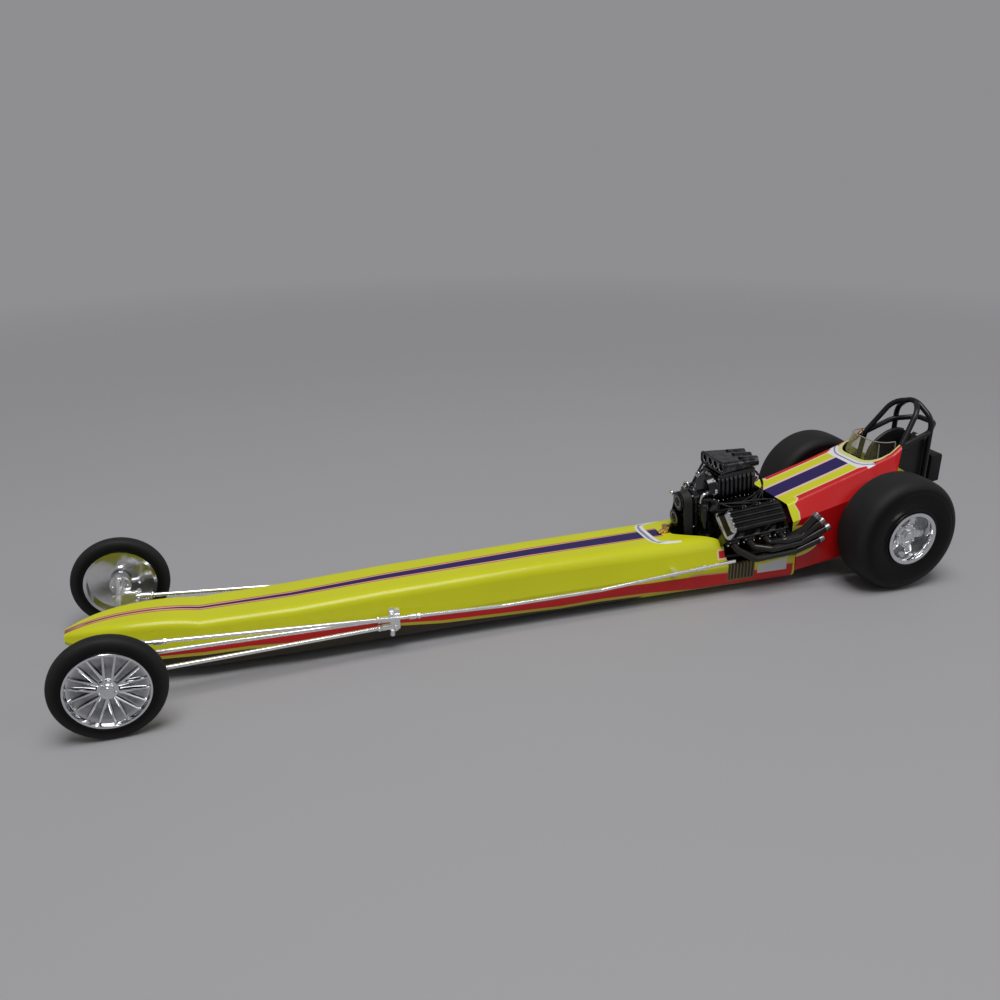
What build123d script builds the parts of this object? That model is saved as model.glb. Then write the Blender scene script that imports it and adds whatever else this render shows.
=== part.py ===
from build123d import *
import os
from math import cos, radians, sin

os.makedirs("parts", exist_ok=True)

# A 1:25 static kit of a front-engined drag racing car. Millimetres, +X towards the nose, +Y to the
# driver's left, +Z up, ground at zero. A station is a distance ahead of the rear axle.

# Wheels and stance
WHEELBASE = 213.0
FRONT_TYRE_R = 12.65
FRONT_TYRE_WIDTH = 4.0
FRONT_TRACK = 54.0
FRONT_RIM_R = 9.3
REAR_TYRE_R = 16.8
REAR_TYRE_WIDTH = 13.4
REAR_TRACK = 41.6
REAR_RIM_R = 7.8
TAIL_REACH = 27.8
RUNNING_GAP = 0.05
SEAT_GAP = 0.1

# Axles
REAR_STUB_R = 1.3
REAR_STUB_LENGTH = 11.6
REAR_TUBE_R = 1.7
FRONT_STUB_R = 0.8
FRONT_STUB_LENGTH = 3.0
FRONT_TUBE_R = 0.8

# Body shell
WALL = 0.9
NOSE_SEAM = WHEELBASE - 65.5
ENGINE_OPENING = 62.6
OPENING_BACK = 49.6
OPENING_HALF = 9.4
SILL_TOP = 9.5
SILL_END = 27.4

# Engine, in its own upright frame before the rake
ENGINE_RAKE = 4.5
ENGINE_MIDDLE = 40.0
CRANK_Z = 11.4
HEAD_REAR = 30.4
HEAD_LENGTH = 20.4
DECK_REACH = 10.2
HEAD_THICK = 3.8
HEAD_WIDTH = 9.0
COVER_THICK = 3.4
COVER_RIB_R = 0.55
BLOWER_FRONT = 48.2
BLOWER_LENGTH = 11.8
BLOWER_BASE = 25.6
BLOWER_HEIGHT = 9.1
BLOWER_HALF = 5.0
GEAR_COVER = 2.6
PLATE_STATION = 54.2
PLATE_THICK = 0.8
BELT_FRONT = 58.4
BELT_WIDTH = 2.8
BELT_THICK = 0.5

# Chassis tubes and cage
RAIL_R = 0.9
RAIL_Y = 7.5
RAIL_Z = 4.2
UPPER_RAIL_Y = 9.1
UPPER_RAIL_Z = 10.5
UPPER_RAIL_R = 0.8
CAGE_R = 0.8
CAGE_TOP = 49.0
HOOP_STATION = -19.0

REAR_AXLE_X = -(WHEELBASE + FRONT_TYRE_R - TAIL_REACH) / 2
FRONT_AXLE_X = REAR_AXLE_X + WHEELBASE
BANK_ANGLE = 45


def at(station):
    """Part-frame X of a station."""
    return REAR_AXLE_X + station


def save(piece, name):
    """Label a finished piece and write its file."""
    piece.part.label = name
    export_step(piece.part, f"parts/{name}.step")


def raked(piece):
    """The piece turned nose down about the crank at the engine's middle."""
    crank = Axis((at(ENGINE_MIDDLE), 0, CRANK_Z), (0, 1, 0))
    return piece.part.rotate(crank, ENGINE_RAKE)


def rod(start, end, radius):
    """Round bar between two points."""
    line = Vector(*end) - Vector(*start)
    with Locations(Plane(origin=start, z_dir=line)):
        Cylinder(radius, line.length, align=(Align.CENTER, Align.CENTER, Align.MIN))


def pipe(points, bends, radius):
    """Round bar along straight runs joined by arcs."""
    with BuildLine() as route:
        FilletPolyline(*points, radius=bends)
    with BuildSketch(Plane(origin=route.line @ 0, z_dir=route.line % 0)) as section:
        Circle(radius)
    sweep(section.sketch, path=route.line)


def across(station):
    """Upright plane across the car, its own x to the left and its own y up."""
    return Plane(origin=(at(station), 0, 0), x_dir=(0, 1, 0), z_dir=(1, 0, 0))


def side_cut(points):
    """Take away everything inside a side view given as stations and heights."""
    with BuildSketch(Plane.XZ) as view:
        with BuildLine():
            Polyline(*[(at(station), height) for station, height in points], close=True)
        make_face()
    extrude(view.sketch, amount=40, both=True, mode=Mode.SUBTRACT)


# Share of the shell's height at which its side is widest
BELT_SHARE = 0.45


def shell_outline(row, inset):
    """Closed section of the body shell: flat crown, round shoulders, upright sides, round sills."""
    station, top, bottom, crown, belt, shoulder, sill = row
    waist = bottom + (top - bottom) * BELT_SHARE
    with BuildSketch(across(station)) as section:
        with BuildLine():
            Polyline(
                (-belt + inset, bottom + inset),
                (belt - inset, bottom + inset),
                (belt - inset, waist),
                (crown - inset, top - inset),
                (-crown + inset, top - inset),
                (-belt + inset, waist),
                close=True,
            )
        make_face()
        fillet(section.vertices().group_by(Axis.Y)[0], sill - inset * 0.6)
        fillet(section.vertices().group_by(Axis.Y)[-1], shoulder - inset * 0.6)
    return section.sketch


# station, top, bottom, crown half-width, belt half-width, shoulder radius, sill radius
NOSE_TIP_ROWS = [
    (WHEELBASE + 11.3, 13.7, 11.4, 1.7, 2.3, 0.8, 0.9),
    (WHEELBASE + 4.0, 15.6, 7.8, 4.8, 6.0, 1.8, 1.8),
    (WHEELBASE - 4.0, 16.3, 5.0, 6.4, 7.8, 2.2, 2.2),
    (WHEELBASE - 12.0, 16.1, 3.4, 7.0, 8.6, 2.3, 2.2),
    (WHEELBASE - 20.0, 14.9, 2.4, 7.6, 9.3, 2.3, 2.2),
]
NOSE_LONG_ROWS = [
    NOSE_TIP_ROWS[-1],
    (WHEELBASE - 43.0, 14.9, 2.2, 8.2, 9.9, 2.4, 2.2),
    (NOSE_SEAM, 15.8, 2.2, 8.4, 10.1, 2.6, 2.2),
]
MID_ROWS = [
    NOSE_LONG_ROWS[-1],
    (NOSE_SEAM - 42.5, 16.7, 2.2, 8.9, 10.6, 3.2, 2.2),
    (ENGINE_OPENING + 7.4, 16.9, 2.2, 9.4, 11.6, 4.2, 2.2),
    (SILL_END, 17.2, 2.2, 9.8, 13.0, 4.6, 2.2),
]

# Nose piece: hollow, closed at the tip, with holes where the axle and the tie rod pass through
TIE_STATION = WHEELBASE - 4.5
TIE_Z = 10.6
TIE_R = 0.5
with BuildPart() as nose_body:
    loft([shell_outline(row, 0) for row in NOSE_TIP_ROWS])
    loft([shell_outline(row, 0) for row in NOSE_LONG_ROWS], ruled=True)
    loft([shell_outline(row, WALL) for row in NOSE_TIP_ROWS[1:]], mode=Mode.SUBTRACT)
    loft([shell_outline(row, WALL) for row in NOSE_LONG_ROWS], ruled=True, mode=Mode.SUBTRACT)
    axle_hole = ((FRONT_AXLE_X, 0, FRONT_TYRE_R), FRONT_TUBE_R)
    tie_hole = ((at(TIE_STATION), 0, TIE_Z), TIE_R)
    for place, radius in (axle_hole, tie_hole):
        with Locations(place):
            Cylinder(radius + SEAT_GAP, 40, rotation=(90, 0, 0), mode=Mode.SUBTRACT)
save(nose_body, "nose_body")

# Main body piece: hollow, cut down to low sills where the engine stands in the open
OPENING_FLOOR = 11.5
SILL_CUT = 60.0
OPENING_REAR = 20.0
OPENING_PLAN = [
    (at(ENGINE_OPENING), -2.4),
    (at(ENGINE_OPENING), 2.4),
    (at(ENGINE_OPENING - 3.7), 4.7),
    (at(OPENING_BACK + 0.6), OPENING_HALF),
    (at(OPENING_BACK), 15.0),
    (at(OPENING_REAR), 15.0),
    (at(OPENING_REAR), -15.0),
    (at(OPENING_BACK), -15.0),
    (at(OPENING_BACK + 0.6), -OPENING_HALF),
    (at(ENGINE_OPENING - 3.7), -4.7),
]
with BuildPart() as mid_body:
    loft([shell_outline(row, 0) for row in MID_ROWS], ruled=True)
    loft([shell_outline(row, WALL) for row in MID_ROWS], ruled=True, mode=Mode.SUBTRACT)
    with BuildSketch(Plane.XY.offset(OPENING_FLOOR)) as opening:
        with BuildLine():
            Polyline(*OPENING_PLAN, close=True)
        make_face()
        fillet(opening.vertices().sort_by(Axis.X)[-2:], 1.6)
    extrude(amount=10, mode=Mode.SUBTRACT)
    with BuildSketch(Plane.XZ) as sill:
        with Locations((at(OPENING_BACK), SILL_TOP)):
            RectangleRounded(SILL_CUT, SILL_CUT / 3, 2.0, align=(Align.MAX, Align.MIN))
    extrude(amount=20, both=True, mode=Mode.SUBTRACT)
save(mid_body, "mid_body")

# Cowl rows: station, crown height, crown half-width, crease height, bottom height
COWL_HALF = 13.0
COWL_FRONT = 29.6
COWL_PEAK = -8.4
COWL_ROWS = [
    (COWL_FRONT, 24.3, 9.2, 20.2, 4.3),
    (12.0, 29.6, 9.0, 24.2, 6.6),
    (2.5, 32.6, 9.1, 26.6, 7.9),
    (-5.3, 35.4, 9.3, 28.6, 9.0),
    (COWL_PEAK, 37.9, 9.4, 29.6, 9.4),
]


def cowl_outline(row, inset):
    """Closed section of the cowl: flat crown, sloping shoulders, upright sides. Inside it has no floor."""
    station, crown_z, crown, crease_z, bottom = row
    if inset:
        bottom -= 4
    with BuildSketch(across(station)) as section:
        with BuildLine():
            Polyline(
                (-COWL_HALF + inset, bottom + inset),
                (COWL_HALF - inset, bottom + inset),
                (COWL_HALF - inset, crease_z - inset * 0.5),
                (crown - inset * 0.5, crown_z - inset),
                (-crown + inset * 0.5, crown_z - inset),
                (-COWL_HALF + inset, crease_z - inset * 0.5),
                close=True,
            )
        make_face()
        fillet(section.vertices().group_by(Axis.Y)[-1], 1.6 - inset * 0.6)
    return section.sketch


# Cockpit mouth, from above: it opens the crown behind the dash
MOUTH_FRONT = 1.6
MOUTH_HALF = 7.85
MOUTH_CORNER = 4.5
MOUTH_LENGTH = 20.0
with BuildPart() as cockpit_cowl:
    loft([cowl_outline(row, 0) for row in COWL_ROWS], ruled=True)
    loft([cowl_outline(row, WALL) for row in COWL_ROWS], ruled=True, mode=Mode.SUBTRACT)
    with BuildSketch(Plane.XY.offset(27)) as mouth:
        with Locations((at(MOUTH_FRONT - MOUTH_LENGTH / 2), 0)):
            RectangleRounded(MOUTH_LENGTH, 2 * MOUTH_HALF, MOUTH_CORNER)
    extrude(amount=20, mode=Mode.SUBTRACT)
    # The rear edge leans forward towards the bottom
    side_cut([(-20, 5), (-3.5, 5), (-3.5, 26), (COWL_PEAK, 38.4), (-20, 38.4)])
    with Locations((REAR_AXLE_X, 0, REAR_TYRE_R)):
        Cylinder(REAR_TUBE_R + 0.3, 40, rotation=(90, 0, 0), mode=Mode.SUBTRACT)
    # A step at the lower front corner takes the end of the body's sills
    with Locations((at(SILL_END) - 0.2, 0, SILL_TOP + 0.3)):
        Box(10, 40, 20, align=(Align.MIN, Align.CENTER, Align.MAX), mode=Mode.SUBTRACT)
save(cockpit_cowl, "cockpit_cowl")

# Tail fairing under and behind the driver: station, top, half-width, bottom
TAIL_ROWS = [
    (-3.0, 33.6, 11.9, 9.4),
    (-18.6, 24.8, 9.4, 10.8),
]


def tail_outline(row, inset):
    """Section of the tail fairing: two sides joined underneath, open upwards."""
    station, top, half, bottom = row
    if inset:
        top += 4
    with BuildSketch(across(station)) as section:
        with BuildLine():
            Polyline(
                (-half + inset, bottom + inset),
                (half - inset, bottom + inset),
                (half - inset, top),
                (-half + inset, top),
                close=True,
            )
        make_face()
        fillet(section.vertices().group_by(Axis.Y)[0], 2.0 - inset * 0.6)
    return section.sketch


with BuildPart() as tail_fairing:
    loft([tail_outline(row, 0) for row in TAIL_ROWS], ruled=True)
    loft([tail_outline(row, WALL) for row in TAIL_ROWS], ruled=True, mode=Mode.SUBTRACT)
    side_cut([(5, 5), (-3.8, 5), (-3.8, 26), (COWL_PEAK - 0.4, 38.6), (5, 38.6)])
save(tail_fairing, "tail_fairing")

# Chassis: lower rails, upper rails, uprights and cross bars
BULKHEAD = 66.0
UPRIGHT_R = 0.7
with BuildPart() as chassis_rails:
    for side in (-1, 1):
        lower = [
            (at(BULKHEAD), side * RAIL_Y, RAIL_Z),
            (at(27.0), side * RAIL_Y, RAIL_Z),
            (at(8.0), side * RAIL_Y, 11.6),
            (at(HOOP_STATION), side * RAIL_Y, 13.4),
        ]
        pipe(lower, [8, 8], RAIL_R)
        upper = [
            (at(BULKHEAD), side * UPPER_RAIL_Y, UPPER_RAIL_Z),
            (at(27.0), side * UPPER_RAIL_Y, UPPER_RAIL_Z),
            (at(9.0), side * UPPER_RAIL_Y, 22.6),
            (at(HOOP_STATION), side * RAIL_Y, 24.0),
        ]
        pipe(upper, [8, 5], UPPER_RAIL_R)
        for station in (BULKHEAD - 4, 27.5):
            foot = (at(station), side * RAIL_Y, RAIL_Z)
            rod(foot, (at(station), side * UPPER_RAIL_Y, UPPER_RAIL_Z), UPRIGHT_R)
    for station in (BULKHEAD - 6, 27.5):
        rod((at(station), -RAIL_Y, RAIL_Z), (at(station), RAIL_Y, RAIL_Z), UPRIGHT_R)
save(chassis_rails, "chassis_rails")

# Roll cage: main hoop, two forward braces and the bar round behind the driver's head
HOOP_TOP = CAGE_TOP - CAGE_R
BRACE_FOOT = (-8.6, 8.0, 36.9)
with BuildPart() as roll_cage:
    hoop = [
        (at(HOOP_STATION), -RAIL_Y, 14.4),
        (at(HOOP_STATION), -RAIL_Y, 44.2),
        (at(HOOP_STATION + 1.6), 0, HOOP_TOP + 1.48),
        (at(HOOP_STATION), RAIL_Y, 44.2),
        (at(HOOP_STATION), RAIL_Y, 14.4),
    ]
    pipe(hoop, [5.0, 6.0, 5.0], CAGE_R)
    for side in (-1, 1):
        brace = [
            (at(HOOP_STATION + 1.4), side * 1.5, HOOP_TOP - 0.25),
            (at(-15.2), side * 5.4, 46.9),
            (at(BRACE_FOOT[0]), side * BRACE_FOOT[1], BRACE_FOOT[2]),
            (at(-7.5), side * 9.0, 23.4),
        ]
        pipe(brace, [6.0, 4.0], CAGE_R)
    neck_bar = [
        (at(BRACE_FOOT[0]), -BRACE_FOOT[1], BRACE_FOOT[2]),
        (at(-18.2), -7.9, 40.3),
        (at(-23.8), -3.4, 41.6),
        (at(-23.8), 3.4, 41.6),
        (at(-18.2), 7.9, 40.3),
        (at(BRACE_FOOT[0]), BRACE_FOOT[1], BRACE_FOOT[2]),
    ]
    pipe(neck_bar, [5.0, 3.0, 3.0, 5.0], CAGE_R)
    add(chassis_rails.part, mode=Mode.SUBTRACT)
    add(cockpit_cowl.part, mode=Mode.SUBTRACT)
save(roll_cage, "roll_cage")


# Engine, worked out from the crank centre and the two banks


def bank(side, reach, across_bank):
    """Point of a cylinder bank: reach along the bank, then outwards across it."""
    lean = radians(BANK_ANGLE)
    return (
        side * (reach * sin(lean) + across_bank * cos(lean)),
        CRANK_Z + reach * cos(lean) - across_bank * sin(lean),
    )


def slab(points, rear_station, length):
    """Straight block along the car from a section given in the upright plane."""
    with BuildSketch(across(rear_station)) as section:
        with BuildLine():
            Polyline(*points, close=True)
        make_face()
    extrude(section.sketch, amount=length)


def mirrored(points):
    """A section's right-hand points followed by the same on the other side."""
    return points + [(-y, z) for y, z in reversed(points)]


HALF_HEAD = HEAD_WIDTH / 2
HEAD_FRONT = HEAD_REAR + HEAD_LENGTH
BLOCK_FRONT = OPENING_BACK - 0.9
PAN_RAIL = (5.2, CRANK_Z - 1.5)
TIMING_HALF = 4.8
TIMING_TOP = CRANK_Z + 6.0
deck_inner = bank(1, DECK_REACH, -HALF_HEAD)
with BuildPart() as upright_block:
    valley = (deck_inner[0] - 1.4, deck_inner[1] - 1.4)
    block_side = [valley, deck_inner, bank(1, DECK_REACH, HALF_HEAD), PAN_RAIL]
    slab(mirrored(block_side), HEAD_REAR, BLOCK_FRONT - HEAD_REAR)
    timing_cover = mirrored([(TIMING_HALF, TIMING_TOP), (TIMING_HALF, CRANK_Z - 2.5)])
    slab(timing_cover, BLOCK_FRONT, PLATE_STATION - BLOCK_FRONT)
with BuildPart() as engine_block:
    add(raked(upright_block))
save(engine_block, "engine_block")

PAN_DEPTH = 4.6
PAN_MIDDLE = (HEAD_REAR + BLOCK_FRONT) / 2
with BuildPart() as upright_pan:
    for drop, shorter, half in ((0, 1.0, 4.8), (PAN_DEPTH, 4.0, 3.7)):
        with BuildSketch(Plane.XY.offset(PAN_RAIL[1] - drop)) as pan_level:
            with Locations((at(PAN_MIDDLE), 0)):
                RectangleRounded(BLOCK_FRONT - HEAD_REAR - shorter, 2 * half, 1.2)
    loft()
with BuildPart() as oil_pan:
    add(raked(upright_pan))
save(oil_pan, "oil_pan")

BELL_R = 6.6
BELL_LENGTH = 6.0
BELL_FLANGE = 1.6
with BuildPart() as upright_bell:
    with BuildSketch(across(HEAD_REAR)) as bell_face:
        with Locations((0, CRANK_Z + 0.8)):
            Circle(BELL_R)
    extrude(amount=-BELL_FLANGE)
    with BuildSketch(across(HEAD_REAR - BELL_FLANGE)) as bell_cone:
        with Locations((0, CRANK_Z + 0.8)):
            Circle(BELL_R - 0.6)
    extrude(amount=-(BELL_LENGTH - BELL_FLANGE), taper=22)
with BuildPart() as bellhousing:
    add(raked(upright_bell))
save(bellhousing, "bellhousing")

COVER_BASE = DECK_REACH + HEAD_THICK
COVER_INSET = 0.2
RIB_PLACES = (-2.4, -0.8, 0.8, 2.4)
for side, hand in ((1, "left"), (-1, "right")):
    with BuildPart() as upright_head:
        head_section = [
            bank(side, DECK_REACH, -HALF_HEAD),
            bank(side, DECK_REACH, HALF_HEAD),
            bank(side, COVER_BASE, HALF_HEAD),
            bank(side, COVER_BASE, -HALF_HEAD),
        ]
        slab(head_section, HEAD_REAR, HEAD_LENGTH)
    with BuildPart() as cylinder_head:
        add(raked(upright_head))
    save(cylinder_head, f"cylinder_head_{hand}")

    with BuildPart() as upright_cover:
        foot = Plane(
            origin=(at(HEAD_REAR + HEAD_LENGTH / 2), *bank(side, COVER_BASE, 0)),
            x_dir=(1, 0, 0),
            z_dir=(0, side * sin(radians(BANK_ANGLE)), cos(radians(BANK_ANGLE))),
        )
        with BuildSketch(foot):
            RectangleRounded(HEAD_LENGTH - 2 * COVER_INSET, HEAD_WIDTH - 2 * COVER_INSET, 1.4)
        with BuildSketch(foot.offset(COVER_THICK)):
            RectangleRounded(HEAD_LENGTH - 3.0, HEAD_WIDTH - 2.6, 1.2)
        loft()
        half_rib = HEAD_LENGTH / 2 - 2.1
        for rib_place in RIB_PLACES:
            spine = bank(side, COVER_BASE + COVER_THICK, rib_place)
            rear, front = HEAD_REAR + 2.1, HEAD_REAR + HEAD_LENGTH - 2.1
            rod((at(rear), *spine), (at(front), *spine), COVER_RIB_R)
    with BuildPart() as valve_cover:
        add(raked(upright_cover))
    save(valve_cover, f"valve_cover_{hand}")

# Manifold between the heads: its sides follow their inner faces at a small gap
BLOWER_REAR = BLOWER_FRONT - BLOWER_LENGTH
MANIFOLD_FLARE = 0.5
low_y, low_z = bank(1, DECK_REACH, -HALF_HEAD - SEAT_GAP - 0.05)
high_y = low_y + MANIFOLD_FLARE
with BuildPart() as upright_manifold:
    manifold_section = [
        (low_y - 1.2, low_z - 0.9),
        (low_y, low_z),
        (high_y, low_z + high_y - low_y),
        (high_y, BLOWER_BASE),
    ]
    slab(mirrored(manifold_section), BLOWER_REAR + 0.5, BLOWER_LENGTH - 1.0)
with BuildPart() as blower_manifold:
    add(raked(upright_manifold))
    add(engine_block.part, mode=Mode.SUBTRACT)
save(blower_manifold, "blower_manifold")

# Blower: ribbed case, flat flanges below and above, gear cover in front
BLOWER_MID = BLOWER_BASE + BLOWER_HEIGHT / 2
BLOWER_CORE = BLOWER_HALF - 0.6
BLOWER_FLANGE = 1.1
BLOWER_RIBS = 8
with BuildPart() as upright_blower:
    with BuildSketch(across(BLOWER_REAR)):
        with Locations((0, BLOWER_MID)):
            RectangleRounded(2 * BLOWER_CORE, BLOWER_HEIGHT, 2.6)
        with Locations((0, BLOWER_BASE)):
            Rectangle(2 * BLOWER_CORE, BLOWER_FLANGE, align=(Align.CENTER, Align.MIN))
        with Locations((0, BLOWER_BASE + BLOWER_HEIGHT)):
            Rectangle(2 * BLOWER_CORE, BLOWER_FLANGE, align=(Align.CENTER, Align.MAX))
    extrude(amount=BLOWER_LENGTH)
    for rib in range(BLOWER_RIBS):
        pitch = (BLOWER_LENGTH - 0.8) / BLOWER_RIBS
        with BuildSketch(across(BLOWER_REAR + 0.7 + rib * pitch)):
            with Locations((0, BLOWER_MID)):
                RectangleRounded(2 * BLOWER_HALF, BLOWER_HEIGHT - 0.8, 2.4)
        extrude(amount=0.55)
    with BuildSketch(across(BLOWER_FRONT)):
        with Locations((0, BLOWER_MID - 0.3)):
            RectangleRounded(2 * BLOWER_CORE + 0.2, BLOWER_HEIGHT - 1.0, 3.6)
    extrude(amount=GEAR_COVER, taper=12)
with BuildPart() as blower:
    add(raked(upright_blower))
save(blower, "blower")

# Blower drive: back plate, top pulley on its snout, crank pulley and idler
TOP_PULLEY_Z = 27.2
PULLEY_R = 2.4
SNOUT_R = 2.2
PULLEY_REAR = PLATE_STATION + PLATE_THICK
PULLEY_RING = 0.5
# Offset to the left and height of the top pulley, the idler and the crank pulley
PULLEYS = [(0, TOP_PULLEY_Z), (-2.3, 21.2), (0, CRANK_Z)]


def belt_outline(reach):
    """Outline round all the pulleys at a distance from their centres."""
    with BuildSketch(across(BELT_FRONT - BELT_WIDTH)) as outline:
        with BuildLine():
            Polyline(*PULLEYS, close=True)
        make_face()
        offset(amount=reach, kind=Kind.ARC)
    return outline.sketch


with BuildPart() as upright_drive:
    with BuildSketch(across(PLATE_STATION)) as plate:
        with Locations((-1.2, (TOP_PULLEY_Z + CRANK_Z) / 2)):
            RectangleRounded(8.8, TOP_PULLEY_Z - CRANK_Z + 6.0, 3.0)
    extrude(amount=PLATE_THICK)
    with BuildSketch(across(BLOWER_FRONT + GEAR_COVER + SEAT_GAP)):
        with Locations((0, TOP_PULLEY_Z)):
            Circle(SNOUT_R)
    extrude(amount=PLATE_STATION - BLOWER_FRONT - GEAR_COVER - SEAT_GAP)
    for left, height in PULLEYS:
        with BuildSketch(across(PULLEY_REAR)):
            with Locations((left, height)):
                Circle(PULLEY_R)
        extrude(amount=BELT_FRONT - PULLEY_REAR)
        with BuildSketch(across(BELT_FRONT)):
            with Locations((left, height)):
                Circle(PULLEY_R - 0.1)
                Circle(PULLEY_R - 0.9, mode=Mode.SUBTRACT)
        extrude(amount=PULLEY_RING)
with BuildPart() as blower_drive:
    add(raked(upright_drive))
save(blower_drive, "blower_drive")

with BuildPart() as upright_belt:
    extrude(belt_outline(PULLEY_R + BELT_THICK), amount=BELT_WIDTH - 0.2)
    extrude(belt_outline(PULLEY_R), amount=BELT_WIDTH - 0.2, mode=Mode.SUBTRACT)
with BuildPart() as drive_belt:
    add(raked(upright_belt))
save(drive_belt, "drive_belt")

# Injector scoop on top of the blower: open at its front, three humps towards the rear
SCOOP_FRONT = 47.7
SCOOP_REAR = 35.4
SCOOP_BASE = BLOWER_BASE + BLOWER_HEIGHT
SCOOP_RISE = 0.4
# station, top above the blower, half-width
SCOOP_ROWS = [
    (SCOOP_REAR, 2.7, 4.8),
    (41.5, 3.5, 5.6),
    (SCOOP_FRONT, 4.0, 6.3),
]
HUMP_PITCH = 3.4
HUMP_R = 1.1
HUMP_FRONT = 41.0


def scoop_outline(row, inset):
    """Closed rounded section of the scoop."""
    station, top, half = row
    with BuildSketch(across(station)) as section:
        with Locations((0, SCOOP_BASE + (SCOOP_RISE + top) / 2)):
            RectangleRounded(2 * (half - inset), top - SCOOP_RISE - 2 * inset, 1.0 - inset)
    return section.sketch


with BuildPart() as upright_scoop:
    loft([scoop_outline(row, 0) for row in SCOOP_ROWS])
    for side in (-1, 0, 1):
        hump_rear = (at(SCOOP_REAR), side * HUMP_PITCH, SCOOP_BASE + SCOOP_ROWS[0][1] - 0.6)
        hump_front = (at(HUMP_FRONT), side * HUMP_PITCH, SCOOP_BASE + SCOOP_ROWS[1][1] - 0.7)
        rod(hump_rear, hump_front, HUMP_R)
    loft([scoop_outline(row, 0.6) for row in SCOOP_ROWS[1:]], mode=Mode.SUBTRACT)
    with BuildSketch(Plane.XY.offset(SCOOP_BASE)):
        with Locations((at((SCOOP_REAR + BLOWER_FRONT) / 2), 0)):
            RectangleRounded(BLOWER_FRONT - SCOOP_REAR - 2.6, 8.0, 1.0)
    extrude(amount=SCOOP_RISE + 0.4)
with BuildPart() as injector_scoop:
    add(raked(upright_scoop))
save(injector_scoop, "injector_scoop")

BUTTERFLY_R = 1.0
BUTTERFLY_STATION = SCOOP_FRONT - 1.4
with BuildPart() as upright_butterflies:
    middle = SCOOP_BASE + (SCOOP_RISE + SCOOP_ROWS[-1][1]) / 2
    shaft = SCOOP_ROWS[-1][2] - 1.1
    rod((at(BUTTERFLY_STATION), -shaft, middle), (at(BUTTERFLY_STATION), shaft, middle), 0.3)
    with BuildSketch(across(BUTTERFLY_STATION - 0.2)):
        with GridLocations(2.6, 1, 4, 1):
            with Locations((0, middle)):
                Circle(BUTTERFLY_R)
    extrude(amount=0.4)
with BuildPart() as butterflies:
    add(raked(upright_butterflies))
save(butterflies, "butterflies")

# Exhaust headers: port station, then stations and heights above the port of the low point, the
# middle and the outlet
HEADER_R = 1.0
HEADER_REACH = 4.2
HEADER_ROWS = [
    (47.8, 42.8, -4.5, 29.6, -4.9, 21.2, -2.6),
    (42.8, 37.6, -2.6, 28.0, -2.5, 19.4, 0.7),
    (37.6, 33.4, -0.8, 27.6, -0.6, 21.4, 3.2),
    (32.6, 30.0, 0.9, 27.2, 1.4, 23.2, 5.4),
]
PORT_REACH = DECK_REACH + HEAD_THICK * 0.45
for side, hand in ((1, "left"), (-1, "right")):
    with BuildPart() as upright_headers:
        port_y, port_z = bank(side, PORT_REACH, HALF_HEAD)
        face_y, face_z = bank(side, PORT_REACH, HALF_HEAD + 0.5)
        bend_y, bend_z = bank(side, PORT_REACH, HALF_HEAD + 2.6)
        outer_y = port_y + side * HEADER_REACH
        for port, low_x, low_z, mid_x, mid_z, end_x, end_z in HEADER_ROWS:
            flange = Plane(
                origin=(at(port), port_y, port_z),
                x_dir=(1, 0, 0),
                z_dir=(0, side * cos(radians(BANK_ANGLE)), -sin(radians(BANK_ANGLE))),
            )
            with BuildSketch(flange) as port_flange:
                RectangleRounded(4.0, 2.8, 0.8)
            extrude(port_flange.sketch, amount=0.6)
            route = [
                (at(port), face_y, face_z),
                (at(port - 0.8), bend_y, bend_z),
                (at(low_x), outer_y, port_z + low_z),
                (at(mid_x), outer_y, port_z + mid_z),
                (at(end_x), outer_y + side * 0.5, port_z + end_z),
            ]
            bends = [1.2, 1.5, 2.4]
            if port - mid_x < 8:
                route.pop(2)
                bends.pop(1)
            pipe(route, bends, HEADER_R)
    with BuildPart() as exhaust_headers:
        add(raked(upright_headers))
        add(cockpit_cowl.part, mode=Mode.SUBTRACT)
    save(exhaust_headers, f"headers_{hand}")

# Magneto standing beside the blower snout
MAGNETO_STATION = 52.3
MAGNETO_Y = 3.75
MAGNETO_LEVELS = [(TIMING_TOP, 1.0), (21.6, 1.45), (25.0, 1.2), (26.6, 0.0)]
with BuildPart() as upright_magneto:
    for (low, radius), (high, _) in zip(MAGNETO_LEVELS, MAGNETO_LEVELS[1:]):
        with BuildSketch(Plane.XY.offset(low)):
            with Locations((at(MAGNETO_STATION), MAGNETO_Y)):
                Circle(radius)
        extrude(amount=high - low)
with BuildPart() as magneto:
    add(raked(upright_magneto))
save(magneto, "magneto")

# Rear axle: centre section, tubes, stubs for the wheels and clamps down to the rails
WHEEL_INNER = REAR_TRACK / 2 - REAR_TYRE_WIDTH / 2
with BuildPart() as rear_axle:
    with Locations((REAR_AXLE_X, 0, REAR_TYRE_R)):
        Cylinder(REAR_TUBE_R, 2 * (WHEEL_INNER - 0.9), rotation=(90, 0, 0))
        Cylinder(REAR_STUB_R, 2 * (WHEEL_INNER + REAR_STUB_LENGTH), rotation=(90, 0, 0))
        Sphere(4.2)
        Cylinder(2.2, 11, rotation=(0, 90, 0), align=(Align.CENTER, Align.CENTER, Align.MIN))
    for side in (-1, 1):
        with Locations((REAR_AXLE_X, side * RAIL_Y, REAR_TYRE_R)):
            Box(3.0, 1.6, 4.6, align=(Align.CENTER, Align.CENTER, Align.MAX))
    add(chassis_rails.part, mode=Mode.SUBTRACT)
save(rear_axle, "rear_axle")

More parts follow.
